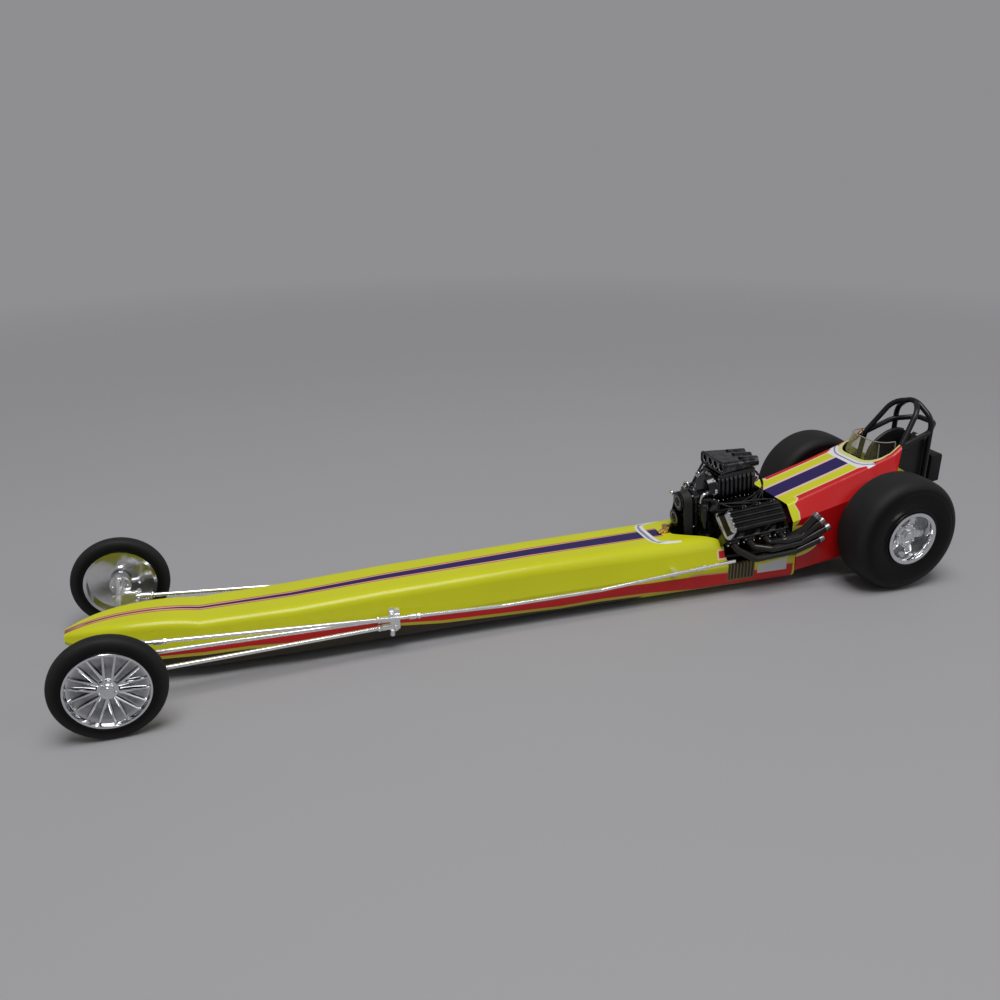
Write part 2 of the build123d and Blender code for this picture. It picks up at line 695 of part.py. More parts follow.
# Front axle: tube, bracket plates for the radius rods, kingpins and wheel stubs
FRONT_INNER = FRONT_TRACK / 2 - FRONT_TYRE_WIDTH / 2
KINGPIN_Y = FRONT_INNER - 2.2
KINGPIN_R = 1.1
KINGPIN_LENGTH = 5.0
PLATE_Y = 15.6
ROD_TOP_Z = 13.1
ROD_LOW_Z = 8.3
with BuildPart() as front_axle:
    with Locations((FRONT_AXLE_X, 0, FRONT_TYRE_R)):
        Cylinder(FRONT_TUBE_R, 2 * (FRONT_INNER - 0.7), rotation=(90, 0, 0))
        Cylinder(FRONT_STUB_R, 2 * (FRONT_INNER + FRONT_STUB_LENGTH), rotation=(90, 0, 0))
    for side in (-1, 1):
        with BuildSketch(Plane.XZ.offset(-side * PLATE_Y)) as wing_plate:
            with BuildLine():
                Polyline(
                    (FRONT_AXLE_X + 1.5, FRONT_TYRE_R + 1.0),
                    (FRONT_AXLE_X - 0.6, FRONT_TYRE_R + 1.6),
                    (FRONT_AXLE_X - 4.4, ROD_TOP_Z + 0.8),
                    (FRONT_AXLE_X - 4.4, ROD_TOP_Z - 0.8),
                    (FRONT_AXLE_X - 1.8, FRONT_TYRE_R - 1.4),
                    (FRONT_AXLE_X - 4.4, ROD_LOW_Z + 0.8),
                    (FRONT_AXLE_X - 4.4, ROD_LOW_Z - 0.8),
                    (FRONT_AXLE_X - 1.0, ROD_LOW_Z - 0.6),
                    close=True,
                )
            make_face()
        extrude(wing_plate.sketch, amount=0.5, both=True)
        with Locations((FRONT_AXLE_X, side * KINGPIN_Y, FRONT_TYRE_R)):
            Cylinder(KINGPIN_R, KINGPIN_LENGTH)
save(front_axle, "front_axle")

# Radius rods from brackets on the body sides to the plates on the front axle
BRACKET_STATION = NOSE_SEAM - 1.7
BRACKET_Z = 9.5
ROD_R = 0.55
ROD_Y = 11.9
LINK_Y = 13.4
LINK_R = 0.5
for side, hand in ((1, "left"), (-1, "right")):
    with BuildPart() as radius_rods:
        for near_z, far_z in ((9.6, ROD_TOP_Z), (7.5, ROD_LOW_Z)):
            start = (at(BRACKET_STATION), side * ROD_Y, near_z)
            rod(start, (FRONT_AXLE_X - 4.0, side * PLATE_Y, far_z), ROD_R)
        with Locations((at(BRACKET_STATION), side * ROD_Y, BRACKET_Z)):
            Box(2.2, 1.4, 5.4)
        with Locations((at(BRACKET_STATION), side * (LINK_Y + ROD_Y - 2.5 - LINK_R) / 2, BRACKET_Z)):
            Box(1.4, LINK_Y - ROD_Y + 2.5 - LINK_R, 2.6)
        add(front_axle.part, mode=Mode.SUBTRACT)
        add(mid_body.part, mode=Mode.SUBTRACT)
        add(nose_body.part, mode=Mode.SUBTRACT)
    save(radius_rods, f"radius_rods_{hand}")

# Steering: tie rod and arms, a raised arm on the left, and the drag link down the left side
LINK_FRONT = (FRONT_AXLE_X - 7.2, 16.6, 16.4)
with BuildPart() as steering_linkage:
    rod((at(TIE_STATION), -KINGPIN_Y, TIE_Z), (at(TIE_STATION), KINGPIN_Y, TIE_Z), TIE_R)
    for side in (-1, 1):
        rod((at(TIE_STATION), side * KINGPIN_Y, TIE_Z), (at(WHEELBASE), side * KINGPIN_Y, TIE_Z + 0.2), 0.6)
    add(front_axle.part, mode=Mode.SUBTRACT)
save(steering_linkage, "steering_linkage")

# Stations, offsets and heights of the drag link between the bracket and the engine
LINK_STEP = 28.5
CLIP_STATION = BRACKET_STATION - 79.2
LINK_END = BRACKET_STATION - 97.5
LINK_POINTS = [
    (BRACKET_STATION, LINK_Y, 10.4),
    (BRACKET_STATION - LINK_STEP, 12.5, 8.4),
    (BRACKET_STATION - 2 * LINK_STEP, 12.8, 8.4),
    (CLIP_STATION, 13.4, 10.0),
    (LINK_END, 14.0, 11.3),
]
with BuildPart() as drag_link:
    rod(LINK_FRONT, (at(BRACKET_STATION), LINK_Y, 10.4), LINK_R)
    for (s1, y1, z1), (s2, y2, z2) in zip(LINK_POINTS, LINK_POINTS[1:]):
        rod((at(s1), y1, z1), (at(s2), y2, z2), LINK_R)
        with Locations((at(s1), y1, z1)):
            Sphere(LINK_R)
    rod(LINK_FRONT, (FRONT_AXLE_X, KINGPIN_Y, FRONT_TYRE_R + KINGPIN_LENGTH / 2 + 0.4), LINK_R)
    with Locations(LINK_FRONT):
        Sphere(0.9)
    with Locations((FRONT_AXLE_X, KINGPIN_Y, FRONT_TYRE_R + KINGPIN_LENGTH / 2)):
        Cylinder(0.9, 1.0, align=(Align.CENTER, Align.CENTER, Align.MIN))
    # A clip holds the link on the body's side ahead of the engine
    with Locations((at(CLIP_STATION), 13.4, 10.0)):
        Box(1.6, 2.3, 1.6, align=(Align.CENTER, Align.MAX, Align.CENTER))
    add(mid_body.part, mode=Mode.SUBTRACT)
save(drag_link, "drag_link")

# Driver's place: bucket seat with a tall wrapped back, dash, steering yoke and windscreen
SEAT_HALF = 6.3
SEAT_BASE = 14.2
SEAT_TOP = 38.0
SEAT_REAR = -23.7
SEAT_CORNER = 4.2
SEAT_WALL = 1.2
SEAT_FRONT = -9.5
CUSHION_FRONT = -7.0


def seat_plan(front, inset):
    """Plan of the seat: a rounded box whose front corners are square."""
    middle = (front + SEAT_REAR) / 2
    length = front - SEAT_REAR - inset
    with Locations((at(middle) + inset / 2, 0)):
        RectangleRounded(length, 2 * (SEAT_HALF - inset), SEAT_CORNER - inset)
    with Locations((at(front), 0)):
        Rectangle(SEAT_CORNER + 1, 2 * (SEAT_HALF - inset), align=(Align.MAX, Align.CENTER))


with BuildPart() as driver_seat:
    with BuildSketch(Plane.XY.offset(SEAT_BASE)) as wrap:
        seat_plan(SEAT_FRONT, 0)
    extrude(amount=SEAT_TOP - SEAT_BASE)
    with BuildSketch(Plane.XY.offset(SEAT_BASE)) as hollow:
        seat_plan(SEAT_FRONT + 2, SEAT_WALL)
    extrude(amount=SEAT_TOP - SEAT_BASE, mode=Mode.SUBTRACT)
    with BuildSketch(Plane.XY.offset(SEAT_BASE)) as floor:
        seat_plan(CUSHION_FRONT, 0)
    extrude(amount=1.2)
    seat_top = [(-5, 29), (-8, 29), (-10, 33.2), (-14, 36.4), (-18, 37.6), (-21, 37.0), (-23, 34.6)]
    side_cut(seat_top + [(-25, 33), (-25, 45), (-5, 45)])
save(driver_seat, "driver_seat")

PACK_FRONT = -23.9
PACK_HALF = 5.0
PACK_LOW = 22.6
PACK_HIGH = 31.6
PACK_DEPTH = TAIL_REACH + PACK_FRONT
PACK_ROUND = 0.15
with BuildPart() as parachute_pack:
    with Locations((at(-TAIL_REACH), 0, PACK_LOW)):
        pack_low_rear = (Align.MIN, Align.CENTER, Align.MIN)
        Box(PACK_DEPTH, 2 * PACK_HALF, PACK_HIGH - PACK_LOW, align=pack_low_rear)
    fillet(parachute_pack.edges().filter_by(Axis.Y), PACK_DEPTH * PACK_ROUND)
save(parachute_pack, "parachute_pack")

DASH_STATION = 6.0
with BuildPart() as dash_panel:
    with BuildSketch(across(DASH_STATION)):
        with Locations((0, 27.0)):
            RectangleRounded(17.0, 8.0, 1.0)
    extrude(amount=0.8)
    add(cockpit_cowl.part, mode=Mode.SUBTRACT)
save(dash_panel, "dash_panel")

YOKE_STATION = -0.6
YOKE_R = 0.45
with BuildPart() as steering_yoke:
    rod((at(DASH_STATION), 0, 28.0), (at(YOKE_STATION), 0, 30.6), 0.5)
    grip = [(-0.8, 2.8, 32.8), (0, 3.0, 30.2), (0.2, 0, 29.6), (0, -3.0, 30.2), (-0.8, -2.8, 32.8)]
    pipe([(at(YOKE_STATION + s), y, z) for s, y, z in grip], [1.0, 1.5, 1.0], YOKE_R)
    add(dash_panel.part, mode=Mode.SUBTRACT)
save(steering_yoke, "steering_yoke")

# Windscreen: a leaning rounded shield that stands in the cockpit mouth
SCREEN_TOP = 38.6
SCREEN_FOOT = 30.0
SCREEN_THICK = 0.5
SCREEN_LEAN = 2.6
SCREEN_PINCH = 0.45
with BuildPart() as windscreen:
    for inset, mode in ((0, Mode.ADD), (SCREEN_THICK, Mode.SUBTRACT)):
        levels = []
        for height, front, half in (
            (SCREEN_FOOT, MOUTH_FRONT - SEAT_GAP, MOUTH_HALF - SEAT_GAP),
            (SCREEN_TOP, MOUTH_FRONT - SCREEN_LEAN, MOUTH_HALF - SCREEN_PINCH),
        ):
            with BuildSketch(Plane.XY.offset(height)) as level:
                with Locations((at(front - inset - MOUTH_LENGTH / 2), 0)):
                    RectangleRounded(MOUTH_LENGTH, 2 * (half - inset), MOUTH_CORNER - inset)
            levels.append(level.sketch)
        loft(levels, mode=mode)
    screen_foot = [(8, 30.1), (2.5, 31.8), (-5.3, 34.4), (-7.2, 36.6)]
    side_cut(screen_foot + [(-7.2, 40), (-30, 40), (-30, 20), (8, 20)])
save(windscreen, "windscreen")

# Wheels: rims with a stub bore and a closed cap, tyres seated on them
CAP_WALL = 0.6
FRONT_SHOULDER = 1.6
REAR_SHOULDER = 3.3


def wheel_plane(axle_x, radius, track, side):
    """Frame of a wheel: its own z points outwards along the axle."""
    return Plane(origin=(axle_x, side * track / 2, radius), x_dir=(1, 0, 0), z_dir=(0, side, 0))


def tyre(radius, rim_r, width, shoulder, place, name):
    """Tyre with round shoulders, turned about the axle."""
    half = width / 2
    with BuildPart() as ring:
        with BuildSketch(Plane.XZ) as tread:
            with BuildLine():
                Polyline((rim_r, -half), (radius, -half), (radius, half), (rim_r, half), close=True)
            make_face()
            fillet(tread.vertices().group_by(Axis.X)[-1], shoulder)
        revolve(axis=Axis.Z)
    ring.part.locate(place.location)
    save(ring, f"tyre_{name}")


def rim_body(rim_r, width, stub_r, stub_length, face, lip):
    """Turned rim: barrel, backing disc whose outer face stands at face, and a capped hub."""
    half = width / 2
    cap = -half + stub_length + 0.3
    with BuildSketch(Plane.XZ) as turned:
        with BuildLine():
            Polyline(
                (0, cap),
                (stub_r + RUNNING_GAP, cap),
                (stub_r + RUNNING_GAP, -half),
                (stub_r + 1.5, -half),
                (stub_r + 1.7, face - 0.9),
                (rim_r - 0.8, face - 0.9),
                (rim_r - 0.8, -half),
                (rim_r, -half),
                (rim_r, half + 0.3),
                (rim_r - lip, half + 0.3),
                (rim_r - lip - 0.2, face),
                (stub_r + 1.1, face),
                (stub_r + 0.9, cap + CAP_WALL),
                (0, cap + CAP_WALL),
                close=True,
            )
        make_face()
    revolve(turned.sketch, axis=Axis.Z)


FRONT_FACE = 0.7
FRONT_PAIRS = 9
PAIR_SPREAD = 8.5
for side, hand in ((1, "left"), (-1, "right")):
    front_place = wheel_plane(FRONT_AXLE_X, FRONT_TYRE_R, FRONT_TRACK, side)
    tyre(FRONT_TYRE_R, FRONT_RIM_R, FRONT_TYRE_WIDTH, FRONT_SHOULDER, front_place, f"front_{hand}")
    with BuildPart() as front_rim:
        rim_body(FRONT_RIM_R, FRONT_TYRE_WIDTH, FRONT_STUB_R, FRONT_STUB_LENGTH, FRONT_FACE, 0.7)
        for spoke in range(2 * FRONT_PAIRS):
            pair, half_pair = divmod(spoke, 2)
            turn = pair * 360 / FRONT_PAIRS + (1 if half_pair else -1) * PAIR_SPREAD
            skew = (1 if half_pair else -1) * 7.0
            with BuildSketch(Plane.XY.offset(FRONT_FACE)) as blade:
                with PolarLocations(5.1, 1, start_angle=turn):
                    Rectangle(6.9, 0.5, rotation=skew)
            extrude(blade.sketch, amount=0.55)
    front_rim.part.locate(front_place.location)
    save(front_rim, f"rim_front_{hand}")

# Rear rims: five broad spokes between rounded windows, deep lip, raised centre
REAR_FACE = 4.0
REAR_SPOKES = 5
WINDOW_R = 1.35
for side, hand in ((1, "left"), (-1, "right")):
    rear_place = wheel_plane(REAR_AXLE_X, REAR_TYRE_R, REAR_TRACK, side)
    tyre(REAR_TYRE_R, REAR_RIM_R, REAR_TYRE_WIDTH, REAR_SHOULDER, rear_place, f"rear_{hand}")
    with BuildPart() as rear_rim:
        rim_body(REAR_RIM_R, REAR_TYRE_WIDTH, REAR_STUB_R, REAR_STUB_LENGTH, REAR_FACE, 0.8)
        with BuildSketch(Plane.XY.offset(REAR_FACE)) as centre_disc:
            Circle(3.7)
            Circle(REAR_STUB_R + 0.5, mode=Mode.SUBTRACT)
        extrude(amount=0.7)
        with BuildSketch(Plane.XY.offset(REAR_FACE)) as spokes:
            for spoke in range(REAR_SPOKES):
                with PolarLocations(5.1, 1, start_angle=spoke * 360 / REAR_SPOKES):
                    Rectangle(4.1, 2.3)
        extrude(amount=0.7)
        with BuildSketch(Plane.XY.offset(REAR_FACE - 1.2)) as windows:
            with PolarLocations(5.15, REAR_SPOKES, start_angle=180 / REAR_SPOKES):
                Circle(WINDOW_R)
        extrude(amount=2.4, mode=Mode.SUBTRACT)
        with BuildSketch(Plane.XY.offset(REAR_FACE + 0.7)) as lugs:
            with PolarLocations(2.9, REAR_SPOKES):
                RegularPolygon(0.42, 6)
        extrude(amount=0.5)
    rear_rim.part.locate(rear_place.location)
    save(rear_rim, f"rim_rear_{hand}")
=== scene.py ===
"""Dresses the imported 1:25 kit of a front-engined drag racing car: paint, plating, tyres, engine and stage.

Lengths in the functions are millimetres. A station is a distance ahead of the rear axle.
"""
import math

import bmesh
import bpy
import numpy as np
from bpy.props import FloatProperty, FloatVectorProperty, IntProperty, PointerProperty
from mathutils import Matrix, Vector


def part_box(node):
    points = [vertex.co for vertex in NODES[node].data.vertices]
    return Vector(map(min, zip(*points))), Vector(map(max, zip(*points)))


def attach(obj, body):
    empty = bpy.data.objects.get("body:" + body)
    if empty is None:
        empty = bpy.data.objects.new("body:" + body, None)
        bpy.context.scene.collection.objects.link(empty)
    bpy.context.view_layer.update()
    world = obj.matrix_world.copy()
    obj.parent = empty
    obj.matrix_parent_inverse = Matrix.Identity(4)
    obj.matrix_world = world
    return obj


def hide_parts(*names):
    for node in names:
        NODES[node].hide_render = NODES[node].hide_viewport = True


bl_info = {
    "name": "Drag Racing Car Kit",
    "version": (1, 0, 0),
    "blender": (4, 5, 0),
    "location": "3D View > Sidebar > Kit Car",
    "description": "Finishes and fine pieces for a 1:25 kit of a front-engined drag racing car",
    "category": "Object",
}

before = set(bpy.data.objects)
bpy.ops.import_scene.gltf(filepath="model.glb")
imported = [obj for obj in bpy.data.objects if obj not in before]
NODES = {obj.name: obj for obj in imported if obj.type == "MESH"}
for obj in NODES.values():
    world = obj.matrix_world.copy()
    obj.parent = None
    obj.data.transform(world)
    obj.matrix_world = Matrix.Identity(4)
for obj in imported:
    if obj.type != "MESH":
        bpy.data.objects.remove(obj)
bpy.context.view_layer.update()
MM = 0.001


def middle(node):
    """Centre of a CAD node's box, in millimetres."""
    low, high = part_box(node)
    return np.array((low + high) / 2) / MM


REAR_AXLE, FRONT_AXLE = middle("tyre_rear_left"), middle("tyre_front_left")
REAR_AXLE_X = float(REAR_AXLE[0])
WHEELBASE = float(FRONT_AXLE[0] - REAR_AXLE[0])
FRONT_TYRE_R, REAR_TYRE_R = float(FRONT_AXLE[2]), float(REAR_AXLE[2])
FRONT_HUB = (WHEELBASE, float(FRONT_AXLE[1]), FRONT_TYRE_R)
REAR_HUB = (0.0, float(REAR_AXLE[1]), REAR_TYRE_R)
FRONT_RIM_R = 9.3
REAR_RIM_R = 7.8
SIDES = ((1, "left"), (-1, "right"))
AHEAD, LEFT, UP, DOWN = (1, 0, 0), (0, 1, 0), (0, 0, 1), (0, 0, -1)


def linear(red, green, blue):
    """Scene-linear colour of a display colour given from 0 to 255."""
    shares = np.array((red, green, blue)) / 255
    high = ((shares + 0.055) / 1.055) ** 2.4
    return tuple(float(v) for v in np.where(shares <= 0.04045, shares / 12.92, high))


def placed(points):
    """Points given as station, left and up in millimetres, as part-frame metres."""
    return (np.asarray(points, float) + (REAR_AXLE_X, 0, 0)) * MM


def spread(*parts):
    """Station, left and up brought to one shape and joined as points."""
    return np.stack(np.broadcast_arrays(*parts), axis=-1)


def unit(vectors):
    """Vectors divided by their lengths."""
    vectors = np.asarray(vectors, float)
    return vectors / np.maximum(np.linalg.norm(vectors, axis=-1, keepdims=True), 1e-9)


def square_to(axis):
    """Two unit directions square to an axis and to each other."""
    axis = unit(axis)
    guide = np.array((0.0, 0.0, 1.0)) if abs(axis[2]) < 0.9 else np.array((1.0, 0.0, 0.0))
    first = unit(np.cross(axis, guide))
    return first, np.cross(axis, first)


def turns(count):
    """Angles of so many equal steps round a circle."""
    return np.linspace(0, 2 * np.pi, count, endpoint=False)


def smooth(points, steps=8):
    """Points on a smooth line through the given ones.

    Between two points the line is the cubic whose slope at each is half the step between its neighbours.
    """
    points = np.asarray(points, float)
    slope = np.gradient(points, axis=0)
    share = np.linspace(0, 1, steps, endpoint=False)[None, :, None]
    start, end = points[:-1, None], points[1:, None]
    near, far = slope[:-1, None], slope[1:, None]
    line = (2 * share**3 - 3 * share**2 + 1) * start + (share**3 - 2 * share**2 + share) * near
    line = line + (3 * share**2 - 2 * share**3) * end + (share**3 - share**2) * far
    return np.vstack([line.reshape(-1, points.shape[1]), points[-1:]])


def tube(path, radius, around=12):
    """Circle carried along a line, its plane square to the line.

    Its radius is one number or one for each point. Its first direction is the one in which the line varies
    least, made square to the line.
    """
    path = np.asarray(path, float)
    ahead = unit(np.gradient(path, axis=0))
    side = np.linalg.svd(path - path.mean(axis=0))[2][-1]
    across = unit(side - (ahead @ side)[:, None] * ahead)
    other = np.cross(ahead, across)
    turn = turns(around)[None, :, None]
    circle = np.cos(turn) * across[:, None] + np.sin(turn) * other[:, None]
    return path[:, None] + np.broadcast_to(radius, len(path))[:, None, None] * circle


def hoop(path, radius, around=10):
    """Round bead carried along a closed line, its plane square to the line and to the way from its middle."""
    ahead = unit(np.roll(path, -1, axis=0) - np.roll(path, 1, axis=0))
    outwards = path - path.mean(axis=0)
    outwards = unit(outwards - np.sum(outwards * ahead, axis=-1, keepdims=True) * ahead)
    up = np.cross(ahead, outwards)
    turn = turns(around)[None, :, None]
    return path[:, None] + radius * (np.cos(turn) * outwards[:, None] + np.sin(turn) * up[:, None])


def circle_at(centre, first, second, count=24):
    """Closed line round a centre: one direction by the cosine of the angle and another by its sine."""
    turn = turns(count)[:, None]
    return np.asarray(centre, float) + np.cos(turn) * first + np.sin(turn) * second


def turned(profile, centre, axis, around=64):
    """Profile rows of distance along an axis and radius, turned about that axis through a centre."""
    along, radius = np.asarray(profile, float).T[:, :, None, None]
    first, second = square_to(axis)
    turn = turns(around)[:, None]
    spoke = np.cos(turn) * first + np.sin(turn) * second
    return np.asarray(centre, float) + along * unit(axis) + radius * spoke


def rounded(wide, high, radius, steps=5):
    """Closed outline of a rectangle whose corners are quarter circles, counterclockwise from the right."""
    turn = turns(4 * steps) + np.pi / (4 * steps)
    sign_x, sign_y = np.sign(np.cos(turn)), np.sign(np.sin(turn))
    quarter = np.arange(4 * steps) % steps / (steps - 1) + np.arange(4 * steps) // steps
    bend = quarter * np.pi / 2
    x = sign_x * (wide / 2 - radius) + radius * np.cos(bend)
    y = sign_y * (high / 2 - radius) + radius * np.sin(bend)
    return np.stack([x, y], axis=-1)


def circle_of(radius, count=24):
    """Closed outline of a circle, or of a regular polygon where the count is small."""
    turn = turns(count)
    return radius * np.stack([np.cos(turn), np.sin(turn)], axis=-1)


def stacked(outline, rows, place, axis, first):
    """Closed outline carried along an axis.

    Each row gives the distance along the axis and how far the outline is drawn in there, along its normals.
    """
    outline = np.asarray(outline, float)
    edge = unit(np.roll(outline, -1, axis=0) - np.roll(outline, 1, axis=0))
    inward = np.stack([-edge[:, 1], edge[:, 0]], axis=-1)
    along, inset = np.asarray(rows, float).T[:, :, None]
    axis, first = unit(axis), unit(first)
    second = np.cross(axis, first)
    flat_x = outline[:, 0] + inset * inward[:, 0]
    flat_y = outline[:, 1] + inset * inward[:, 1]
    place = np.asarray(place, float)
    return place + along[..., None] * axis + flat_x[..., None] * first + flat_y[..., None] * second


def block(wide, high, deep, radius, edge, place, axis, first):
    """Rounded box on a place: a rounded rectangle, its two ends drawn in along a quarter circle."""
    bend = np.linspace(0, np.pi / 2, 4)
    low = np.stack([edge * (1 - np.cos(bend)), edge * (1 - np.sin(bend))], axis=-1)
    high_rows = np.stack([deep - low[::-1, 0], low[::-1, 1]], axis=-1)
    return stacked(rounded(wide, high, radius), np.vstack([low, high_rows]), place, axis, first)


def bevelled(height, rise, inset):
    """Rows of a plain stack whose two ends are drawn in."""
    return [(0, inset), (rise, 0), (height, 0), (height + rise, inset)]


ENGINE_RAKE = math.radians(4.5)
CRANK = (40.0, 0.0, 11.4)
BANK_LEAN = math.sqrt(0.5)


def raked(points):
    """Points of the upright engine turned nose down about the crank at the engine's middle."""
    ahead, left, up = np.moveaxis(np.asarray(points, float) - CRANK, -1, 0)
    cos, sin = math.cos(ENGINE_RAKE), math.sin(ENGINE_RAKE)
    return spread(ahead * cos + up * sin, left, up * cos - ahead * sin) + CRANK


def bank(side, station, reach, across):
    """Point of the upright engine: reach along a cylinder bank from the crank, then outwards across it."""
    return spread(station, side * (reach + across) * BANK_LEAN, CRANK[2] + (reach - across) * BANK_LEAN)


def bank_way(side, reach, across):
    """Direction in the upright plane: so much along a cylinder bank and so much outwards across it."""
    return np.array((0.0, side * (reach + across) * BANK_LEAN, (reach - across) * BANK_LEAN))


def wheel_spot(hub, side, out, radius, turn):
    """Point of a wheel: distance outwards from its middle plane, radius and angle in that plane."""
    station, left, up = hub
    return spread(station + radius * np.cos(turn), side * (left + out), up - side * radius * np.sin(turn))


def put(name, data):
    """A new object in the scene."""
    item = bpy.data.objects.new(name, data)
    bpy.context.scene.collection.objects.link(item)
    return item


class Shell:
    """Gathers grids of points, rows by columns, into the mesh of one piece."""

    def __init__(self, name, sharp=38):
        self.name = name
        self.sharp = sharp
        self.grids = []
        self.faces = []
        self.slots = []
        self.count = 0

    def add(self, grid, slot=0, ring=True, loop=False):
        """Faces between neighbours. Ring closes each row, loop the columns; without loop ends are filled."""
        rows, columns = grid.shape[:2]
        index = np.arange(rows * columns).reshape(rows, columns) + self.count
        first, last = index[0][::-1].tolist(), index[-1].tolist()
        if ring:
            index = np.hstack([index, index[:, :1]])
        if loop:
            index = np.vstack([index, index[:1]])
        corners = (index[:-1, :-1], index[:-1, 1:], index[1:, 1:], index[1:, :-1])
        faces = np.stack(corners, axis=-1).reshape(-1, 4).tolist()
        if ring and not loop:
            faces += [first, last]
        self.grids.append(np.asarray(grid, float).reshape(-1, 3))
        self.faces += faces
        self.slots += [slot] * len(faces)
        self.count += rows * columns
        return self

    def sheet(self, outer, inner, slot=0):
        """Closed skin between two open grids of the same size, such as a curved panel's two faces."""
        wrapped = np.concatenate([outer, inner[:, ::-1]], axis=1)
        return self.add(wrapped, slot)

    def spin(self, profile, centre, axis, around=20, slot=0, loop=False):
        """A profile turned about an axis."""
        return self.add(turned(profile, centre, axis, around), slot, loop=loop)

    def pipe(self, path, radius, around=12, slot=0):
        """A round rod along a line."""
        return self.add(tube(path, radius, around), slot)

    def ring(self, path, radius, around=10, slot=0):
        """A round bead along a closed line."""
        return self.add(hoop(path, radius, around), slot, loop=True)

    def prism(self, outline, rows, place, axis, first=(0, 0, 1), slot=0):
        """A closed outline carried along an axis."""
        return self.add(stacked(outline, rows, place, axis, first), slot)

    def bolt(self, place, axis, radius, height, slot=0):
        """Hexagonal head with a chamfered top on a thin round washer."""
        first = square_to(axis)[0]
        washer = [(-0.05, 0), (height * 0.2, 0), (height * 0.25, 0.04)]
        self.prism(circle_of(radius * 1.25, 16), washer, place, axis, first, slot)
        rows = [(0, 0), (height * 0.85, 0), (height, radius * 0.18)]
        return self.prism(circle_of(radius, 6), rows, place, axis, first, slot)

    def both_sides(self):
        """The same again, mirrored to the other side of the car."""
        points = np.vstack(self.grids)
        self.grids.append(points * (1, -1, 1))
        self.faces += [[corner + self.count for corner in face[::-1]] for face in self.faces]
        self.slots += self.slots
        self.count *= 2

    def make(self, slot, *finishes, body="chassis", stands_for=(), rake=False):
        """The mesh object, closed at its seams, faces outwards, riding on a body."""
        points = np.vstack(self.grids)
        if rake:
            points = raked(points)
        mesh = bpy.data.meshes.new(self.name)
        mesh.from_pydata(placed(points).tolist(), [], self.faces)
        mesh.polygons.foreach_set("material_index", self.slots)
        for finish in finishes:
            mesh.materials.append((shared(finish) if isinstance(finish, str) else finish).material)
        skin = bmesh.new()
        skin.from_mesh(mesh)
        bmesh.ops.remove_doubles(skin, verts=skin.verts, dist=2e-7)
        bmesh.ops.recalc_face_normals(skin, faces=skin.faces)
        skin.to_mesh(mesh)
        skin.free()
        mesh.polygons.foreach_set("use_smooth", [True] * len(mesh.polygons))
        mesh.set_sharp_from_angle(angle=math.radians(self.sharp))
        piece = put(self.name, mesh)
        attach(piece, body)
        if stands_for:
            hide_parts(*stands_for)


class Value:
    """A number socket of a shader; arithmetic on it adds Math nodes."""

    def __init__(self, finish, socket):
        self.finish = finish
        self.socket = socket

    def calc(self, operation, *others, clamp=False):
        """One Math node fed by this socket and by up to two other numbers or sockets."""
        settings = {"operation": operation, "use_clamp": clamp}
        node = self.finish.node("ShaderNodeMath", settings, dict(enumerate((self, *others))))
        return Value(self.finish, node.outputs[0])

    def __add__(self, other):
        return self.calc("ADD", other)

    def __sub__(self, other):
        return self.calc("SUBTRACT", other)

    def __mul__(self, other):
        return self.calc("MULTIPLY", other)

    def __truediv__(self, other):
        return self.calc("DIVIDE", other)

    def __pow__(self, other):
        return self.calc("POWER", other)

    def __rsub__(self, other):
        return (self * -1.0) + other

    def __rtruediv__(self, other):
        return (self ** -1.0) * other

    __radd__ = __add__
    __rmul__ = __mul__

    def __abs__(self):
        return self.calc("ABSOLUTE")

    def above(self, edge, soft=0.1):
        """0 below the edge and 1 above it, with a soft step."""
        return (self - edge).calc("DIVIDE", soft, clamp=True)

    def below(self, edge, soft=0.1):
        """1 below the edge and 0 above it, with a soft step."""
        return 1.0 - self.above(edge, soft)

    def between(self, low, high, soft=0.1):
        """1 between two edges."""
        return self.above(low, soft) * self.below(high, soft)

    def either(self, other):
        """The greater of two masks."""
        return self.calc("MAXIMUM", other)

    def follow(self, rows):
        """The broken line through rows of this value and its result: each run adds its clamped rise."""
        total = rows[0][1]
        for (near, low), (far, high) in zip(rows, rows[1:]):
            inputs = {"Value": self, "From Min": near, "From Max": far, "To Min": 0.0, "To Max": high - low}
            node = self.finish.node("ShaderNodeMapRange", {"clamp": True}, inputs)
            total = Value(self.finish, node.outputs[0]) + total
        return total


class Tree:
    """A node tree and the methods that add nodes to it."""

    def __init__(self, owner):
        owner.use_nodes = True
        self.tree = owner.node_tree
        self.tree.nodes.clear()

    def node(self, kind, settings, inputs):
        """A node of a kind: its settings are set first, then its sockets get values or links."""
        node = self.tree.nodes.new(kind)
        for key, value in settings.items():
            setattr(node, key, value)
        for key, value in inputs.items():
            self.feed(node.inputs[key], value)
        return node

    def feed(self, socket, value):
        """Give a socket a number, a colour or a link."""
        if isinstance(value, Value):
            self.tree.links.new(value.socket, socket)
        elif isinstance(value, bpy.types.NodeSocket):
            self.tree.links.new(value, socket)
        elif socket.type == "RGBA" and len(value) == 3:
            socket.default_value = (*value, 1.0)
        else:
            socket.default_value = value

    def seen(self):
        """1 for rays that see a surface, also mirrored or through glass; 0 for rays that only light."""
        path = self.node("ShaderNodeLightPath", {}, {})
        camera, glossy, through = (
            Value(self, path.outputs[f"Is {kind} Ray"]) for kind in ("Camera", "Glossy", "Transmission")
        )
        return camera.either(glossy).either(through)


